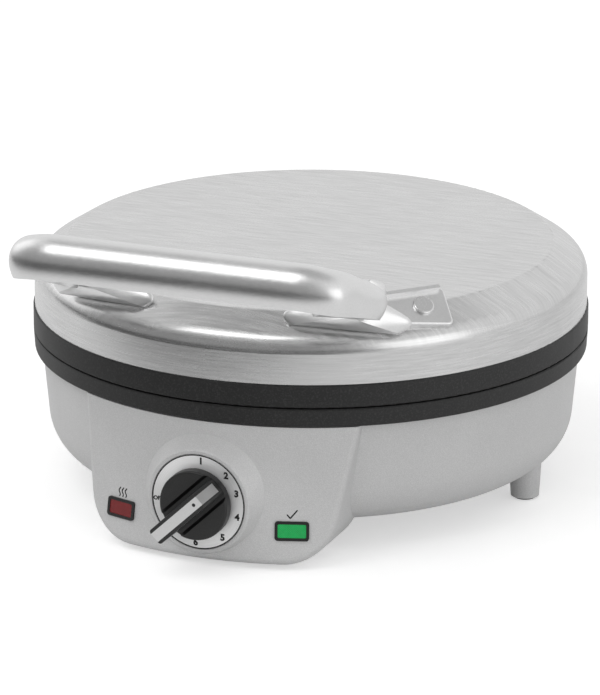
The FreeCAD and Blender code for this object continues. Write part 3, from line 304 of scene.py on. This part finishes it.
@dataclass(frozen=True)
class BrushedSteel(Finish):
    """Steel sheet brushed along X on its top and round the lid on its wall."""

    tint: Colour = grey(206)
    rough: float = 0.25
    lines: float = 420.0
    wall_lines: float = 820.0
    run: float = 42.0
    turns: float = 6.0
    axis_y: float = 0.0
    wall_height: float = 0.0
    top_height: float = 1.0
    depth: float = 0.012 * MILLIMETRE
    wear: float = 14.0
    streak_tone: float = 1.5
    wear_tone: float = 0.4
    streak_gloss: float = 0.24
    wear_gloss: float = 0.1
    darkest: float = 0.78
    lightest: float = 1.2

    def paint(self, shader: Shader) -> None:
        """Streaks of two directions, mixed by height, turn the normal, the gloss and the tone a little."""
        point = shader.point()
        flat = shader.stretched(point, (self.run, self.lines, 1.0))
        axes = shader.node("ShaderNodeSeparateXYZ", inputs={0: point}, output="X")
        height = axes.output("Z")
        turn = axes.math("ARCTAN2", axes.output("Y") - self.axis_y)
        circle = {0: turn * self.turns, 1: height * self.wall_lines}
        around = shader.node("ShaderNodeCombineXYZ", inputs=circle)
        on_top = height.ramp(self.wall_height, self.top_height)
        top = shader.noise(flat, 1.0, 4.0, 0.7)
        wall = shader.noise(around, 1.0, 4.0, 0.7)
        streaks = top * on_top + wall * (1 - on_top)
        handled = shader.noise(point, self.wear, 3.0)
        shade = streaks.swing(self.streak_tone) + handled.swing(self.wear_tone) + 0.5
        dark, light = scaled(self.tint, self.darkest), scaled(self.tint, self.lightest)
        shader.surface({
            "Base Color": shader.mixed(shade, dark, light),
            "Metallic": 1.0,
            "Roughness": streaks.swing(self.streak_gloss) + handled.swing(self.wear_gloss) + self.rough,
            "Normal": shader.bump(streaks, self.depth),
        })


@dataclass(frozen=True)
class SilverPaint(Finish):
    """Satin silver paint with fine flakes over a slightly wavy moulding."""

    tint: Colour = grey(210)
    rough: float = 0.52
    metal: float = 0.2
    flakes: float = 2600.0
    peel: float = 420.0
    depth: float = 0.006 * MILLIMETRE
    clouds: float = 22.0
    flake_tone: float = 0.5
    cloud_tone: float = 0.5
    base_tone: float = 0.25
    flake_gloss: float = 0.1
    cloud_gloss: float = 0.12
    flake_relief: float = 0.5
    sheen: float = 0.25
    darkest: float = 0.82
    lightest: float = 1.14

    def paint(self, shader: Shader) -> None:
        """Flake noise lifts the tone, and a coarser noise bends the normal like sprayed paint."""
        point = shader.point()
        flake = shader.noise(point, self.flakes, 1.0).ramp(0.36, 0.7)
        cloud = shader.noise(point, self.clouds, 3.0)
        peel = shader.noise(point, self.peel, 2.0)
        shade = flake * self.flake_tone + cloud.swing(self.cloud_tone) + self.base_tone
        dark, light = scaled(self.tint, self.darkest), scaled(self.tint, self.lightest)
        shader.surface({
            "Base Color": shader.mixed(shade, dark, light),
            "Metallic": self.metal,
            "Specular IOR Level": self.sheen,
            "Roughness": flake.swing(self.flake_gloss) + cloud.swing(self.cloud_gloss) + self.rough,
            "Normal": shader.bump(peel + flake * self.flake_relief, self.depth),
        })


@dataclass(frozen=True)
class MouldedPlastic(Finish):
    """Plastic or rubber from a textured mould."""

    tint: Colour
    rough: float = 0.55
    grain: float = 1500.0
    speckle: float = 0.35
    depth: float = 0.02 * MILLIMETRE
    clouds: float = 30.0
    grain_tone: float = 0.7
    cloud_tone: float = 0.4
    base_tone: float = 0.15
    cloud_gloss: float = 0.16
    grain_gloss: float = 0.12
    dust: float = 0.004

    def paint(self, shader: Shader) -> None:
        """Fine grain bends the normal and lightens the high spots; a cloud varies the gloss."""
        point = shader.point()
        grain = shader.noise(point, self.grain, 2.0, 0.6)
        cloud = shader.noise(point, self.clouds, 3.0)
        high = grain.ramp(0.48, 0.68)
        dark = scaled(self.tint, 1 - self.speckle)
        light = scaled(self.tint, 1 + self.speckle, self.dust)
        shade = high * self.grain_tone + cloud.swing(self.cloud_tone) + self.base_tone
        shader.surface({
            "Base Color": shader.mixed(shade, dark, light),
            "Roughness": cloud.swing(self.cloud_gloss) + grain.swing(self.grain_gloss) + self.rough,
            "Normal": shader.bump(grain, self.depth),
        })


@dataclass(frozen=True)
class CastMetal(Finish):
    """Bare metal with a satin grain, from a casting, a bar or plated wire."""

    tint: Colour = grey(212)
    rough: float = 0.3
    grain: float = 1400.0
    stretch: Colour = (0.25, 1.0, 1.0)
    depth: float = 0.003 * MILLIMETRE
    clouds: float = 26.0
    grain_tone: float = 0.7
    cloud_tone: float = 0.4
    gloss_swing: float = 0.12
    darkest: float = 0.84
    lightest: float = 1.1

    def paint(self, shader: Shader) -> None:
        """A grain that is longer along one axis gives the satin, and a cloud gives the wear."""
        point = shader.point()
        grain = shader.noise(shader.stretched(point, self.stretch), self.grain, 3.0, 0.6)
        cloud = shader.noise(point, self.clouds, 4.0, 0.6)
        shade = grain.swing(self.grain_tone) + cloud.swing(self.cloud_tone) + 0.5
        dark, light = scaled(self.tint, self.darkest), scaled(self.tint, self.lightest)
        shader.surface({
            "Base Color": shader.mixed(shade, dark, light),
            "Metallic": 1.0,
            "Roughness": grain.swing(self.gloss_swing) + cloud.swing(self.gloss_swing) + self.rough,
            "Normal": shader.bump(grain, self.depth),
        })


@dataclass(frozen=True)
class SpunMetal(Finish):
    """Metal ring turned on a lathe, with two painted highlights across it: bright fans in its colour."""

    middle_x: float
    middle_z: float
    low: Colour = grey(206)
    high: Colour = grey(255)
    rough: float = 0.36
    metal: float = 0.3
    lines: float = 5200.0
    highlight_turn: float = math.radians(122)
    depth: float = 0.004 * MILLIMETRE
    highlight_tone: float = 0.8
    line_tone: float = 0.7
    base_tone: float = 0.1
    line_gloss: float = 0.2

    def paint(self, shader: Shader) -> None:
        """Painted highlights: tone follows the cosine of twice the angle round the ring; fine circles follow
        the radius.
        """
        axes = shader.node("ShaderNodeSeparateXYZ", inputs={0: shader.point()}, output="X")
        across, up = axes - self.middle_x, axes.output("Z") - self.middle_z
        angle = up.math("ARCTAN2", across)
        # Painted highlight: two bright fans in the base colour stand for the sheen of the spun face.
        painted_highlights = ((angle - self.highlight_turn) * 2.0).math("COSINE") * 0.5 + 0.5
        radius = (across * across + up * up).math("SQRT")
        place = shader.node("ShaderNodeCombineXYZ", inputs={0: radius * self.lines, 1: angle})
        circles = shader.noise(place, 1.0, 2.0)
        shade = painted_highlights * self.highlight_tone + circles.swing(self.line_tone) + self.base_tone
        shader.surface({
            "Base Color": shader.mixed(shade, self.low, self.high),
            "Metallic": self.metal,
            "Roughness": circles.swing(self.line_gloss) + self.rough,
            "Normal": shader.bump(circles, self.depth),
        })


@dataclass(frozen=True)
class CoatedPlate(Finish):
    """Dark non-stick coating on cast baking plates."""

    tint: Colour = grey(46)
    rough: float = 0.38
    speck: float = 900.0
    depth: float = 0.015 * MILLIMETRE
    skin: float = 500.0
    patches: float = 18.0
    speck_tone: float = 0.5
    patch_swing: float = 0.3
    skin_gloss: float = 0.1
    palest: float = 3.0

    def paint(self, shader: Shader) -> None:
        """Small pale specks in the coating, a cast skin under it and patches that baking has dulled."""
        point = shader.point()
        speck = shader.noise(point, self.speck, 1.0).ramp(0.66, 0.74)
        skin = shader.noise(point, self.skin, 3.0)
        baked = shader.noise(point, self.patches, 4.0)
        shade = speck * self.speck_tone + baked.swing(self.patch_swing)
        shader.surface({
            "Base Color": shader.mixed(shade, self.tint, scaled(self.tint, self.palest)),
            "Roughness": baked.swing(self.patch_swing) + skin.swing(self.skin_gloss) + self.rough,
            "Normal": shader.bump(skin, self.depth),
        })


@dataclass(frozen=True)
class TintedLens(Finish):
    """Tinted window moulded with a fine diamond hatch, which glows with painted lamp light."""

    tint: Colour
    # Painted lamp light: strength of the window's own glow.
    glow: float = 0.0
    turn: float = 0.0
    pitch: float = 0.9 * MILLIMETRE
    depth: float = 0.12 * MILLIMETRE
    rough: float = 0.2
    haze: float = 300.0
    ridge_tone: float = 0.85
    haze_tone: float = 0.4
    haze_gloss: float = 0.2
    relief: float = 0.5
    darkest: float = 0.55
    lightest: float = 1.35
    lift: float = 0.01

    def paint(self, shader: Shader) -> None:
        """Two crossed rows of ridges, worked out from the place along each diagonal."""
        point = shader.stretched(shader.point(), (1.0, 1.0, 1.0), (0.0, 0.0, -self.turn))
        axes = shader.node("ShaderNodeSeparateXYZ", inputs={0: point}, output="X")
        rise, fall = axes + axes.output("Z"), axes - axes.output("Z")
        ridges = (rise / self.pitch).math("PINGPONG", 0.5) + (fall / self.pitch).math("PINGPONG", 0.5)
        haze = shader.noise(point, self.haze, 2.0)
        shade = ridges * self.ridge_tone + haze.swing(self.haze_tone)
        dark, light = scaled(self.tint, self.darkest), scaled(self.tint, self.lightest, self.lift)
        tone = shader.mixed(shade, dark, light)
        shader.surface({
            "Base Color": tone,
            "Roughness": haze.swing(self.haze_gloss) + self.rough,
            "Normal": shader.bump(ridges, self.depth, self.relief),
            # Painted lamp light: the window glows in its own tone though no lamp lights it.
            "Emission Color": tone,
            "Emission Strength": self.glow,
        })


@dataclass(frozen=True)
class WovenSleeve(Finish):
    """Woven glass-fibre sleeve of the wires inside the base."""

    tint: Colour = grey(205)
    pitch: float = 0.8 * MILLIMETRE

    def paint(self, shader: Shader) -> None:
        """Crossed ridges stand for the weave."""
        axes = shader.node("ShaderNodeSeparateXYZ", inputs={0: shader.point()}, output="X")
        along = axes.output("Y") + axes.output("Z")
        weave = ((along + axes) / self.pitch).math("PINGPONG", 0.5)
        weave = weave + ((along - axes) / self.pitch).math("PINGPONG", 0.5)
        shader.surface({
            "Base Color": shader.mixed(weave, scaled(self.tint, 0.6), self.tint),
            "Roughness": weave * 0.1 + 0.75,
            "Normal": shader.bump(weave, 0.1 * MILLIMETRE, 0.6),
        })


DIAL_LOW, DIAL_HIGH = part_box("dial_ring")
DIAL_MIDDLE = (DIAL_LOW + DIAL_HIGH) / 2
DIAL_RADIUS = (DIAL_HIGH.x - DIAL_LOW.x) / 2
RING_AXIS_Y = sum(corner.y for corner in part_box("lid_ring")) / 2
COVER_LOW, COVER_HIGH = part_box("lid_cover")
WINDOW_TURN = math.radians(17.9)

FINISHES: dict[str, Finish] = {
    "brushed_cover": BrushedSteel(
        "brushed_cover",
        axis_y=RING_AXIS_Y,
        wall_height=COVER_HIGH.z - 19 * MILLIMETRE,
        top_height=COVER_HIGH.z - 9 * MILLIMETRE,
    ),
    "silver_paint": SilverPaint("silver_paint"),
    "charcoal_plastic": MouldedPlastic(
        "charcoal_plastic", grey(29), 0.55, 1100.0, 0.85, 0.03 * MILLIMETRE
    ),
    "cast_handle": CastMetal("cast_handle", grey(224), 0.32),
    "rivet_metal": CastMetal("rivet_metal", grey(222), 0.26, 1800.0, (1.0, 1.0, 1.0)),
    "plate_coating": CoatedPlate("plate_coating"),
    "element_steel": CastMetal("element_steel", grey(120), 0.45, 900.0, (1.0, 1.0, 1.0)),
    "reflector_sheet": CastMetal("reflector_sheet", grey(225), 0.25),
    "plated_steel": CastMetal("plated_steel", grey(200), 0.32, 2400.0, (1.0, 1.0, 1.0)),
    "pin_steel": CastMetal("pin_steel", grey(190), 0.28, 2400.0, (0.1, 1.0, 1.0)),
    "fuse_body": MouldedPlastic("fuse_body", grey(218), 0.5, 900.0, 0.1),
    "foot_rubber": MouldedPlastic("foot_rubber", grey(48), 0.75, 1100.0, 0.3),
    "thermostat_body": MouldedPlastic("thermostat_body", colour(196, 186, 164), 0.5, 900.0, 0.12),
    "brass": CastMetal("brass", colour(214, 180, 110), 0.3, 2000.0, (1.0, 1.0, 1.0)),
    # The dial face carries painted highlights in its colour.
    "dial_face": SpunMetal("dial_face", DIAL_MIDDLE.x, DIAL_MIDDLE.z),
    "window_black": MouldedPlastic("window_black", grey(14), 0.3, 1800.0, 0.2, 0.004 * MILLIMETRE),
    # The number after each window's colour is its painted lamp glow.
    "red_window": TintedLens("red_window", colour(122, 10, 14), 0.04, -WINDOW_TURN),
    "green_window": TintedLens("green_window", colour(0, 158, 76), 0.3, WINDOW_TURN),
    "lamp_glass": MouldedPlastic("lamp_glass", colour(240, 222, 200), 0.12, 400.0, 0.05, 0.002 * MILLIMETRE),
    "terminal_plastic": MouldedPlastic("terminal_plastic", grey(228), 0.5, 900.0, 0.08),
    "gland_rubber": MouldedPlastic("gland_rubber", grey(40), 0.7, 1100.0, 0.3),
    "wire_sleeve": WovenSleeve("wire_sleeve"),
    "hinge_plastic": MouldedPlastic("hinge_plastic", grey(46), 0.5, 1300.0, 0.4),
    "knob_black": MouldedPlastic("knob_black", grey(27), 0.4, 1700.0, 0.25, 0.008 * MILLIMETRE),
    "knob_silver": CastMetal("knob_silver", grey(214), 0.32, 2200.0, (1.0, 1.0, 1.0)),
}
INK = MouldedPlastic("dial_ink", grey(12), 0.6, 2200.0, 0.2, 0.003 * MILLIMETRE)


def sheet_object(name: str, points: np.ndarray, closed: bool = False) -> bpy.types.Object:
    """Makes a smooth mesh of a grid of points.

    Args:
        name: Name of the piece.
        points: Array of rows, columns and three coordinates in metres.
        closed: Whether the last column joins the first one.

    Returns:
        The object, with its place in its mesh.
    """
    rows, columns, _ = points.shape
    last = columns if closed else columns - 1
    row, column = np.meshgrid(np.arange(rows - 1), np.arange(last), indexing="ij")
    following = (column + 1) % columns
    low, high = row * columns, (row + 1) * columns
    quads = np.stack([low + column, low + following, high + following, high + column], axis=-1)
    return mesh_object(name, points.reshape(-1, 3), quads.reshape(-1, 4))


def mesh_object(name: str, points: np.ndarray, faces: np.ndarray) -> bpy.types.Object:
    """Makes a smooth object of points and faces, merged where points meet and turned outwards.

    Args:
        name: Name of the piece.
        points: Points in metres.
        faces: Point numbers of each face.

    Returns:
        The object in the scene.
    """
    mesh = bpy.data.meshes.new(name)
    mesh.from_pydata(points.tolist(), [], faces.tolist())
    cleaned = bmesh.new()
    cleaned.from_mesh(mesh)
    bmesh.ops.remove_doubles(cleaned, verts=cleaned.verts, dist=MERGE)
    bmesh.ops.recalc_face_normals(cleaned, faces=cleaned.faces)
    cleaned.to_mesh(mesh)
    cleaned.free()
    mesh.shade_smooth()
    made = bpy.data.objects.new(name, mesh)
    bpy.context.scene.collection.objects.link(made)
    return made


@dataclass
class CadPieces:
    """Solids of the part that are shown as they are, with their finishes."""

    def build(self) -> None:
        """Puts on each solid the finish of its slot."""
        for subpart in frame["record"]["subparts"]:
            FINISHES[subpart["material_slot"]].dress(frame["nodes"][subpart["node"]])
            log.info("dressed %s with %s", subpart["node"], subpart["material_slot"])


@dataclass
class DialMarks:
    """Printed figures on the dial ring and the dark line round its rim."""

    ring_radius: float = 21.8 * MILLIMETRE
    figure_size: float = 4.7 * MILLIMETRE
    word_size: float = 2.9 * MILLIMETRE
    weight: float = 0.25 * MILLIMETRE
    thickness: float = 0.05 * MILLIMETRE
    line_width: float = 0.62 * MILLIMETRE
    line_steps: int = 145
    line_sides: int = 12
    places: tuple[tuple[str, float], ...] = (
        ("OFF", 182.0), ("1", 86.0), ("2", 46.0), ("3", 18.0), ("4", -15.0), ("5", -53.0), ("6", -94.0),
    )

    def figure(self, text: str, angle: float) -> bpy.types.Object:
        """Makes one figure as a thin flat mesh on the ring's face.

        Args:
            text: What it reads.
            angle: Its place round the dial in degrees, counted from the right towards the top.

        Returns:
            The figure in its place.
        """
        size = self.word_size if len(text) > 1 else self.figure_size
        letters = bpy.data.curves.new("dial_letters", "FONT")
        letters.body = text
        letters.size = size
        letters.align_x = "CENTER"
        letters.align_y = "CENTER"
        letters.bevel_depth = self.weight * size / self.figure_size
        letters.bevel_resolution = 1
        holder = bpy.data.objects.new("dial_letters", letters)
        bpy.context.scene.collection.objects.link(holder)
        mesh = bpy.data.meshes.new_from_object(holder.evaluated_get(bpy.context.evaluated_depsgraph_get()))
        bpy.data.objects.remove(holder)
        bpy.data.curves.remove(letters)
        turn = math.radians(angle)
        place = Vector((
            DIAL_MIDDLE.x + self.ring_radius * math.cos(turn),
            DIAL_LOW.y,
            DIAL_MIDDLE.z + self.ring_radius * math.sin(turn),
        ))
        mesh.transform(Matrix.Translation(place) @ Matrix.Rotation(math.pi / 2, 4, "X"))
        mesh.name = f"dial_mark_{text.lower()}"
        made = bpy.data.objects.new(mesh.name, mesh)
        bpy.context.scene.collection.objects.link(made)
        return made

    def rim_line(self) -> bpy.types.Object:
        """Flat ring round the dial's rim: an ellipse, wide and thin, carried round a circle."""
        around, section = np.meshgrid(
            np.linspace(0.0, 2 * math.pi, self.line_steps),
            np.linspace(0.0, 2 * math.pi, self.line_sides, endpoint=False),
            indexing="ij",
        )
        radius = DIAL_RADIUS - self.line_width / 2 * (1 - np.cos(section))
        points = np.stack([
            DIAL_MIDDLE.x + radius * np.cos(around),
            DIAL_LOW.y - self.thickness * np.sin(section),
            DIAL_MIDDLE.z + radius * np.sin(around),
        ], axis=-1)
        return sheet_object("dial_rim_line", points, closed=True)

    def build(self) -> None:
        """Puts the line and every figure on the dial."""
        figures = [self.figure(text, angle) for text, angle in self.places]
        for figure in (self.rim_line(), *figures):
            INK.dress(figure)
            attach(figure, Body.BASE.value)
            log.info("built %s", figure.name)


class Sign(Enum):
    """Printed signs above the indicator windows."""

    HEAT = "heat_sign"
    READY = "ready_sign"


@dataclass
class WindowSigns:
    """Heat waves above the red window and a tick above the green one, printed on the pod's sloping face."""

    turn: float = WINDOW_TURN
    height: float = 29.4 * MILLIMETRE
    face_foot: float = 154.0 * MILLIMETRE
    face_top: float = 143.8 * MILLIMETRE
    foot_height: float = 2.6 * MILLIMETRE
    top_height: float = 73.2 * MILLIMETRE
    stroke: float = 0.75 * MILLIMETRE
    thickness: float = 0.06 * MILLIMETRE
    wave_gap: float = 2.1 * MILLIMETRE
    wave_sway: float = 0.5 * MILLIMETRE
    sign_height: float = 5.0 * MILLIMETRE
    wave_turns: float = 1.2
    tick_across: Colour = (-2.7 * MILLIMETRE, -0.9 * MILLIMETRE, 2.9 * MILLIMETRE)
    tick_up: Colour = (0.1 * MILLIMETRE, -1.9 * MILLIMETRE, 2.5 * MILLIMETRE)
    tick_shares: Colour = (0.0, 0.32, 1.0)
    end_power: int = 14
    steps: int = 49
    sides: int = 12

    def ribbon(self, path: np.ndarray) -> np.ndarray:
        """Flat stroke along a path: an ellipse carried along it, drawn in to a point at both ends.

        Args:
            path: Array of places along the stroke, across and up the face.

        Returns:
            Array of rows along the stroke, columns round it, and the values across, up and out.
        """
        heading = np.gradient(path, axis=0)
        heading /= np.linalg.norm(heading, axis=1, keepdims=True)
        beside = np.stack([-heading[:, 1], heading[:, 0]], axis=-1)
        share = np.linspace(-1.0, 1.0, len(path))
        taper = np.sqrt(1 - share**self.end_power)[:, None]
        angle = np.linspace(0.0, 2 * math.pi, self.sides, endpoint=False)[None, :]
        across = self.stroke / 2 * taper * np.cos(angle)
        out = self.thickness * taper * np.sin(angle)
        flat = path[:, None, :] + beside[:, None, :] * across[..., None]
        return np.concatenate([flat, out[..., None]], axis=-1)

    def on_face(self, points: np.ndarray, turn: float) -> np.ndarray:
        """Bends flat points on to the pod's cone.

        The way across becomes an angle about the ring's axis, the way up becomes a height along the
        slope, and the radius is the cone's radius at that height plus the way out.

        Args:
            points: Array whose last axis holds across, up and out.
            turn: Angle of the sign's middle, from the front towards the right.

        Returns:
            Array of places in the part's frame.
        """
        slope = (self.face_foot - self.face_top) / (self.top_height - self.foot_height)
        height = self.height + points[..., 1] * math.cos(math.atan(slope))
        radius = self.face_foot - slope * (height - self.foot_height) + points[..., 2]
        angle = turn + points[..., 0] / self.face_foot
        return np.stack([radius * np.sin(angle), RING_AXIS_Y - radius * np.cos(angle), height], axis=-1)

    def strokes(self, sign: Sign) -> list[np.ndarray]:
        """Paths of a sign's strokes.

        Args:
            sign: Which sign.

        Returns:
            Three upright sine waves for heat, or one bent line for ready.
        """
        share = np.linspace(0.0, 1.0, self.steps)
        if sign is Sign.READY:
            across = np.interp(share, self.tick_shares, self.tick_across)
            return [np.stack([across, np.interp(share, self.tick_shares, self.tick_up)], axis=-1)]
        sway = self.wave_sway * np.sin(share * 2 * math.pi * self.wave_turns)
        rise = (share - 0.5) * self.sign_height
        return [np.stack([sway + place * self.wave_gap, rise], axis=-1) for place in (-1, 0, 1)]

    def build(self) -> None:
        """Prints both signs."""
        for sign, turn in ((Sign.HEAT, -self.turn), (Sign.READY, self.turn)):
            for number, path in enumerate(self.strokes(sign), 1):
                name = f"{sign.value}_{number}"
                stroke = sheet_object(name, self.on_face(self.ribbon(path), turn), closed=True)
                INK.dress(stroke)
                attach(stroke, Body.BASE.value)
                log.info("built %s", name)


@dataclass
class PointerDot:
    """Small dark dot near the pointing end of the silver strip on the knob."""

    radius: float = 0.95 * MILLIMETRE
    thickness: float = 0.05 * MILLIMETRE
    from_tip: float = 4.0 * MILLIMETRE
    tip: float = 16.7 * MILLIMETRE
    turn: float = math.radians(43.5)
    rings: int = 9
    sides: int = 24

    def build(self) -> None:
        """Flattened ball: its radius and its height follow the sine and the cosine of one angle."""
        along = self.tip - self.from_tip
        rise, around = np.meshgrid(
            np.linspace(0.0, math.pi, self.rings),
            np.linspace(0.0, 2 * math.pi, self.sides, endpoint=False),
            indexing="ij",
        )
        out = self.radius * np.sin(rise)
        points = np.stack([
            DIAL_MIDDLE.x + along * math.cos(self.turn) + out * np.cos(around),
            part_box("knob_inlay")[0].y - self.thickness * np.cos(rise),
            DIAL_MIDDLE.z + along * math.sin(self.turn) + out * np.sin(around),
        ], axis=-1)
        dot = sheet_object("pointer_dot", points, closed=True)
        INK.dress(dot)
        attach(dot, Body.KNOB.value)
        log.info("built %s", dot.name)


@dataclass(frozen=True)
class Lamp:
    """One soft lamp: its name, its place in metres, its width and height in metres, and its watts."""

    name: str
    place: Colour
    width: float
    height: float
    power: float


@dataclass
class Studio:
    """Floor, light, background and camera."""

    azimuth: float = 21.6
    elevation: float = 18.04
    distance: float = 2.9
    lens: float = 286.9
    sensor: float = 36.0
    aim_height: float = 83.5 * MILLIMETRE
    aim_right: float = -5.71 * MILLIMETRE
    aim_up: float = -14.03 * MILLIMETRE
    floor_half: float = 8.0
    floor_steps: int = 9
    fibre: float = 60.0
    fibre_dark: Colour = grey(214)
    fibre_light: Colour = grey(222)
    edge_tone: Colour = grey(70)
    dark_way: Colour = (-0.42, -0.9, 0.0)
    table_edge: float = 0.3
    table_fade: float = 0.24
    room_level: float = 0.7
    back_level: float = 0.93
    dark_side: float = 0.62
    dark_ceiling: float = 0.5
    dark_rise: tuple[float, float] = (0.0, 0.7)
    ceiling_rise: tuple[float, float] = (0.72, 0.97)
    table_glow: float = 0.24
    paper_glow: float = 0.5
    lamp_aim: Colour = (0.0, 0.0, 0.08)
    lamps: tuple[Lamp, ...] = (
        Lamp("top_light", (-0.5, -1.1, 1.75), 1.2, 1.2, 9.5),
        Lamp("left_light", (-1.9, 0.3, 1.0), 1.2, 1.2, 2.5),
        Lamp("right_light", (2.2, -0.9, 0.5), 1.6, 1.6, 6.0),
    )

    def camera(self) -> None:
        """Sets the camera at the photograph's angle."""
        turn, rise = math.radians(self.azimuth), math.radians(self.elevation)
        right = Vector((math.cos(turn), math.sin(turn), 0.0))
        back = Vector((math.sin(turn) * math.cos(rise), -math.cos(turn) * math.cos(rise), math.sin(rise)))
        aim = Vector((0.0, RING_AXIS_Y, self.aim_height))
        aim += right * self.aim_right + back.cross(right) * self.aim_up
        data = bpy.data.cameras.new("photo_camera")
        data.lens = self.lens
        data.sensor_width = self.sensor
        data.clip_end = 100.0
        made = bpy.data.objects.new("photo_camera", data)
        made.location = aim + back * self.distance
        made.rotation_mode = "QUATERNION"
        made.rotation_quaternion = (-back).to_track_quat("-Z", "Y")
        bpy.context.scene.collection.objects.link(made)
        bpy.context.scene.camera = made

    def light(self, lamp: Lamp) -> None:
        """Adds a soft lamp that looks at the middle of the part."""
        data = bpy.data.lights.new(lamp.name, "AREA")
        data.shape = "RECTANGLE"
        data.size = lamp.width
        data.size_y = lamp.height
        data.energy = lamp.power
        made = bpy.data.objects.new(lamp.name, data)
        made.location = lamp.place
        made.rotation_mode = "QUATERNION"
        heading = Vector(self.lamp_aim) - Vector(lamp.place)
        made.rotation_quaternion = heading.to_track_quat("-Z", "Y")
        bpy.context.scene.collection.objects.link(made)

    def world(self) -> None:
        """Pale room, darker above and beyond the table's front left; the camera sees plain white."""
        world = bpy.data.worlds.new("studio")
        world.use_nodes = True
        bpy.context.scene.world = world
        shader = Shader(world.node_tree)
        heading = shader.node("ShaderNodeTexCoord", output="Generated")
        height = shader.node("ShaderNodeSeparateXYZ", inputs={0: heading}, output="Z")
        rays = shader.node("ShaderNodeLightPath", output="Is Camera Ray")
        seen = rays.math("MAXIMUM", rays.output("Is Transmission Ray"))
        front = shader.along(heading, self.dark_way).ramp(*self.dark_rise) * self.dark_side
        dark = front.math("MAXIMUM", height.ramp(*self.ceiling_rise) * self.dark_ceiling)
        glossy = rays.output("Is Glossy Ray")
        level = seen + (1 - seen) * (glossy * (1 - dark) * self.back_level + (1 - glossy) * self.room_level)
        light = shader.node("ShaderNodeBackground", inputs={"Color": WHITE, "Strength": level})
        shader.node("ShaderNodeOutputWorld", inputs={"Surface": light})

    def floor(self) -> None:
        """Pale table that keeps the shadow, shows white to the camera and darkens towards its edge."""
        edge = np.linspace(-self.floor_half, self.floor_half, self.floor_steps)
        across, along = np.meshgrid(edge, edge, indexing="ij")
        made = sheet_object("studio_floor", np.stack([across, along, np.zeros_like(across)], axis=-1))
        material = bpy.data.materials.new("floor_paper")
        material.use_nodes = True
        shader = Shader(material.node_tree)
        point = shader.point()
        fibre = shader.noise(point, self.fibre, 3.0)
        ahead = shader.along(point, self.dark_way)
        beyond = ahead.ramp(self.table_edge, self.table_edge + self.table_fade)
        rays = shader.node("ShaderNodeLightPath", output="Is Camera Ray")
        shown = rays * self.paper_glow + rays.output("Is Glossy Ray") * (1 - beyond) * self.table_glow
        table = shader.mixed(fibre, self.fibre_dark, self.fibre_light)
        paper = shader.node("ShaderNodeBsdfPrincipled", inputs={
            "Base Color": shader.mixed(beyond * (1 - rays), table, self.edge_tone),
            "Roughness": 0.9,
            "Specular IOR Level": 0.1,
        })
        glow = shader.node("ShaderNodeEmission", inputs={"Color": WHITE, "Strength": shown})
        both = shader.node("ShaderNodeAddShader", inputs={0: paper, 1: glow})
        shader.node("ShaderNodeOutputMaterial", inputs={"Surface": both})
        made.data.materials.append(material)

    def build(self) -> None:
        """Sets up the whole studio."""
        bpy.context.scene.view_settings.view_transform = "Standard"
        self.world()
        self.floor()
        for lamp in self.lamps:
            self.light(lamp)
        self.camera()


def main() -> None:
    """Builds every sub-assembly in order."""
    logging.basicConfig(level=logging.INFO, format="%(message)s")
    for assembly in (CadPieces(), DialMarks(), WindowSigns(), PointerDot(), Studio()):
        assembly.build()
        log.info("finished %s", type(assembly).__name__)


if __name__ == "__main__":
    main()
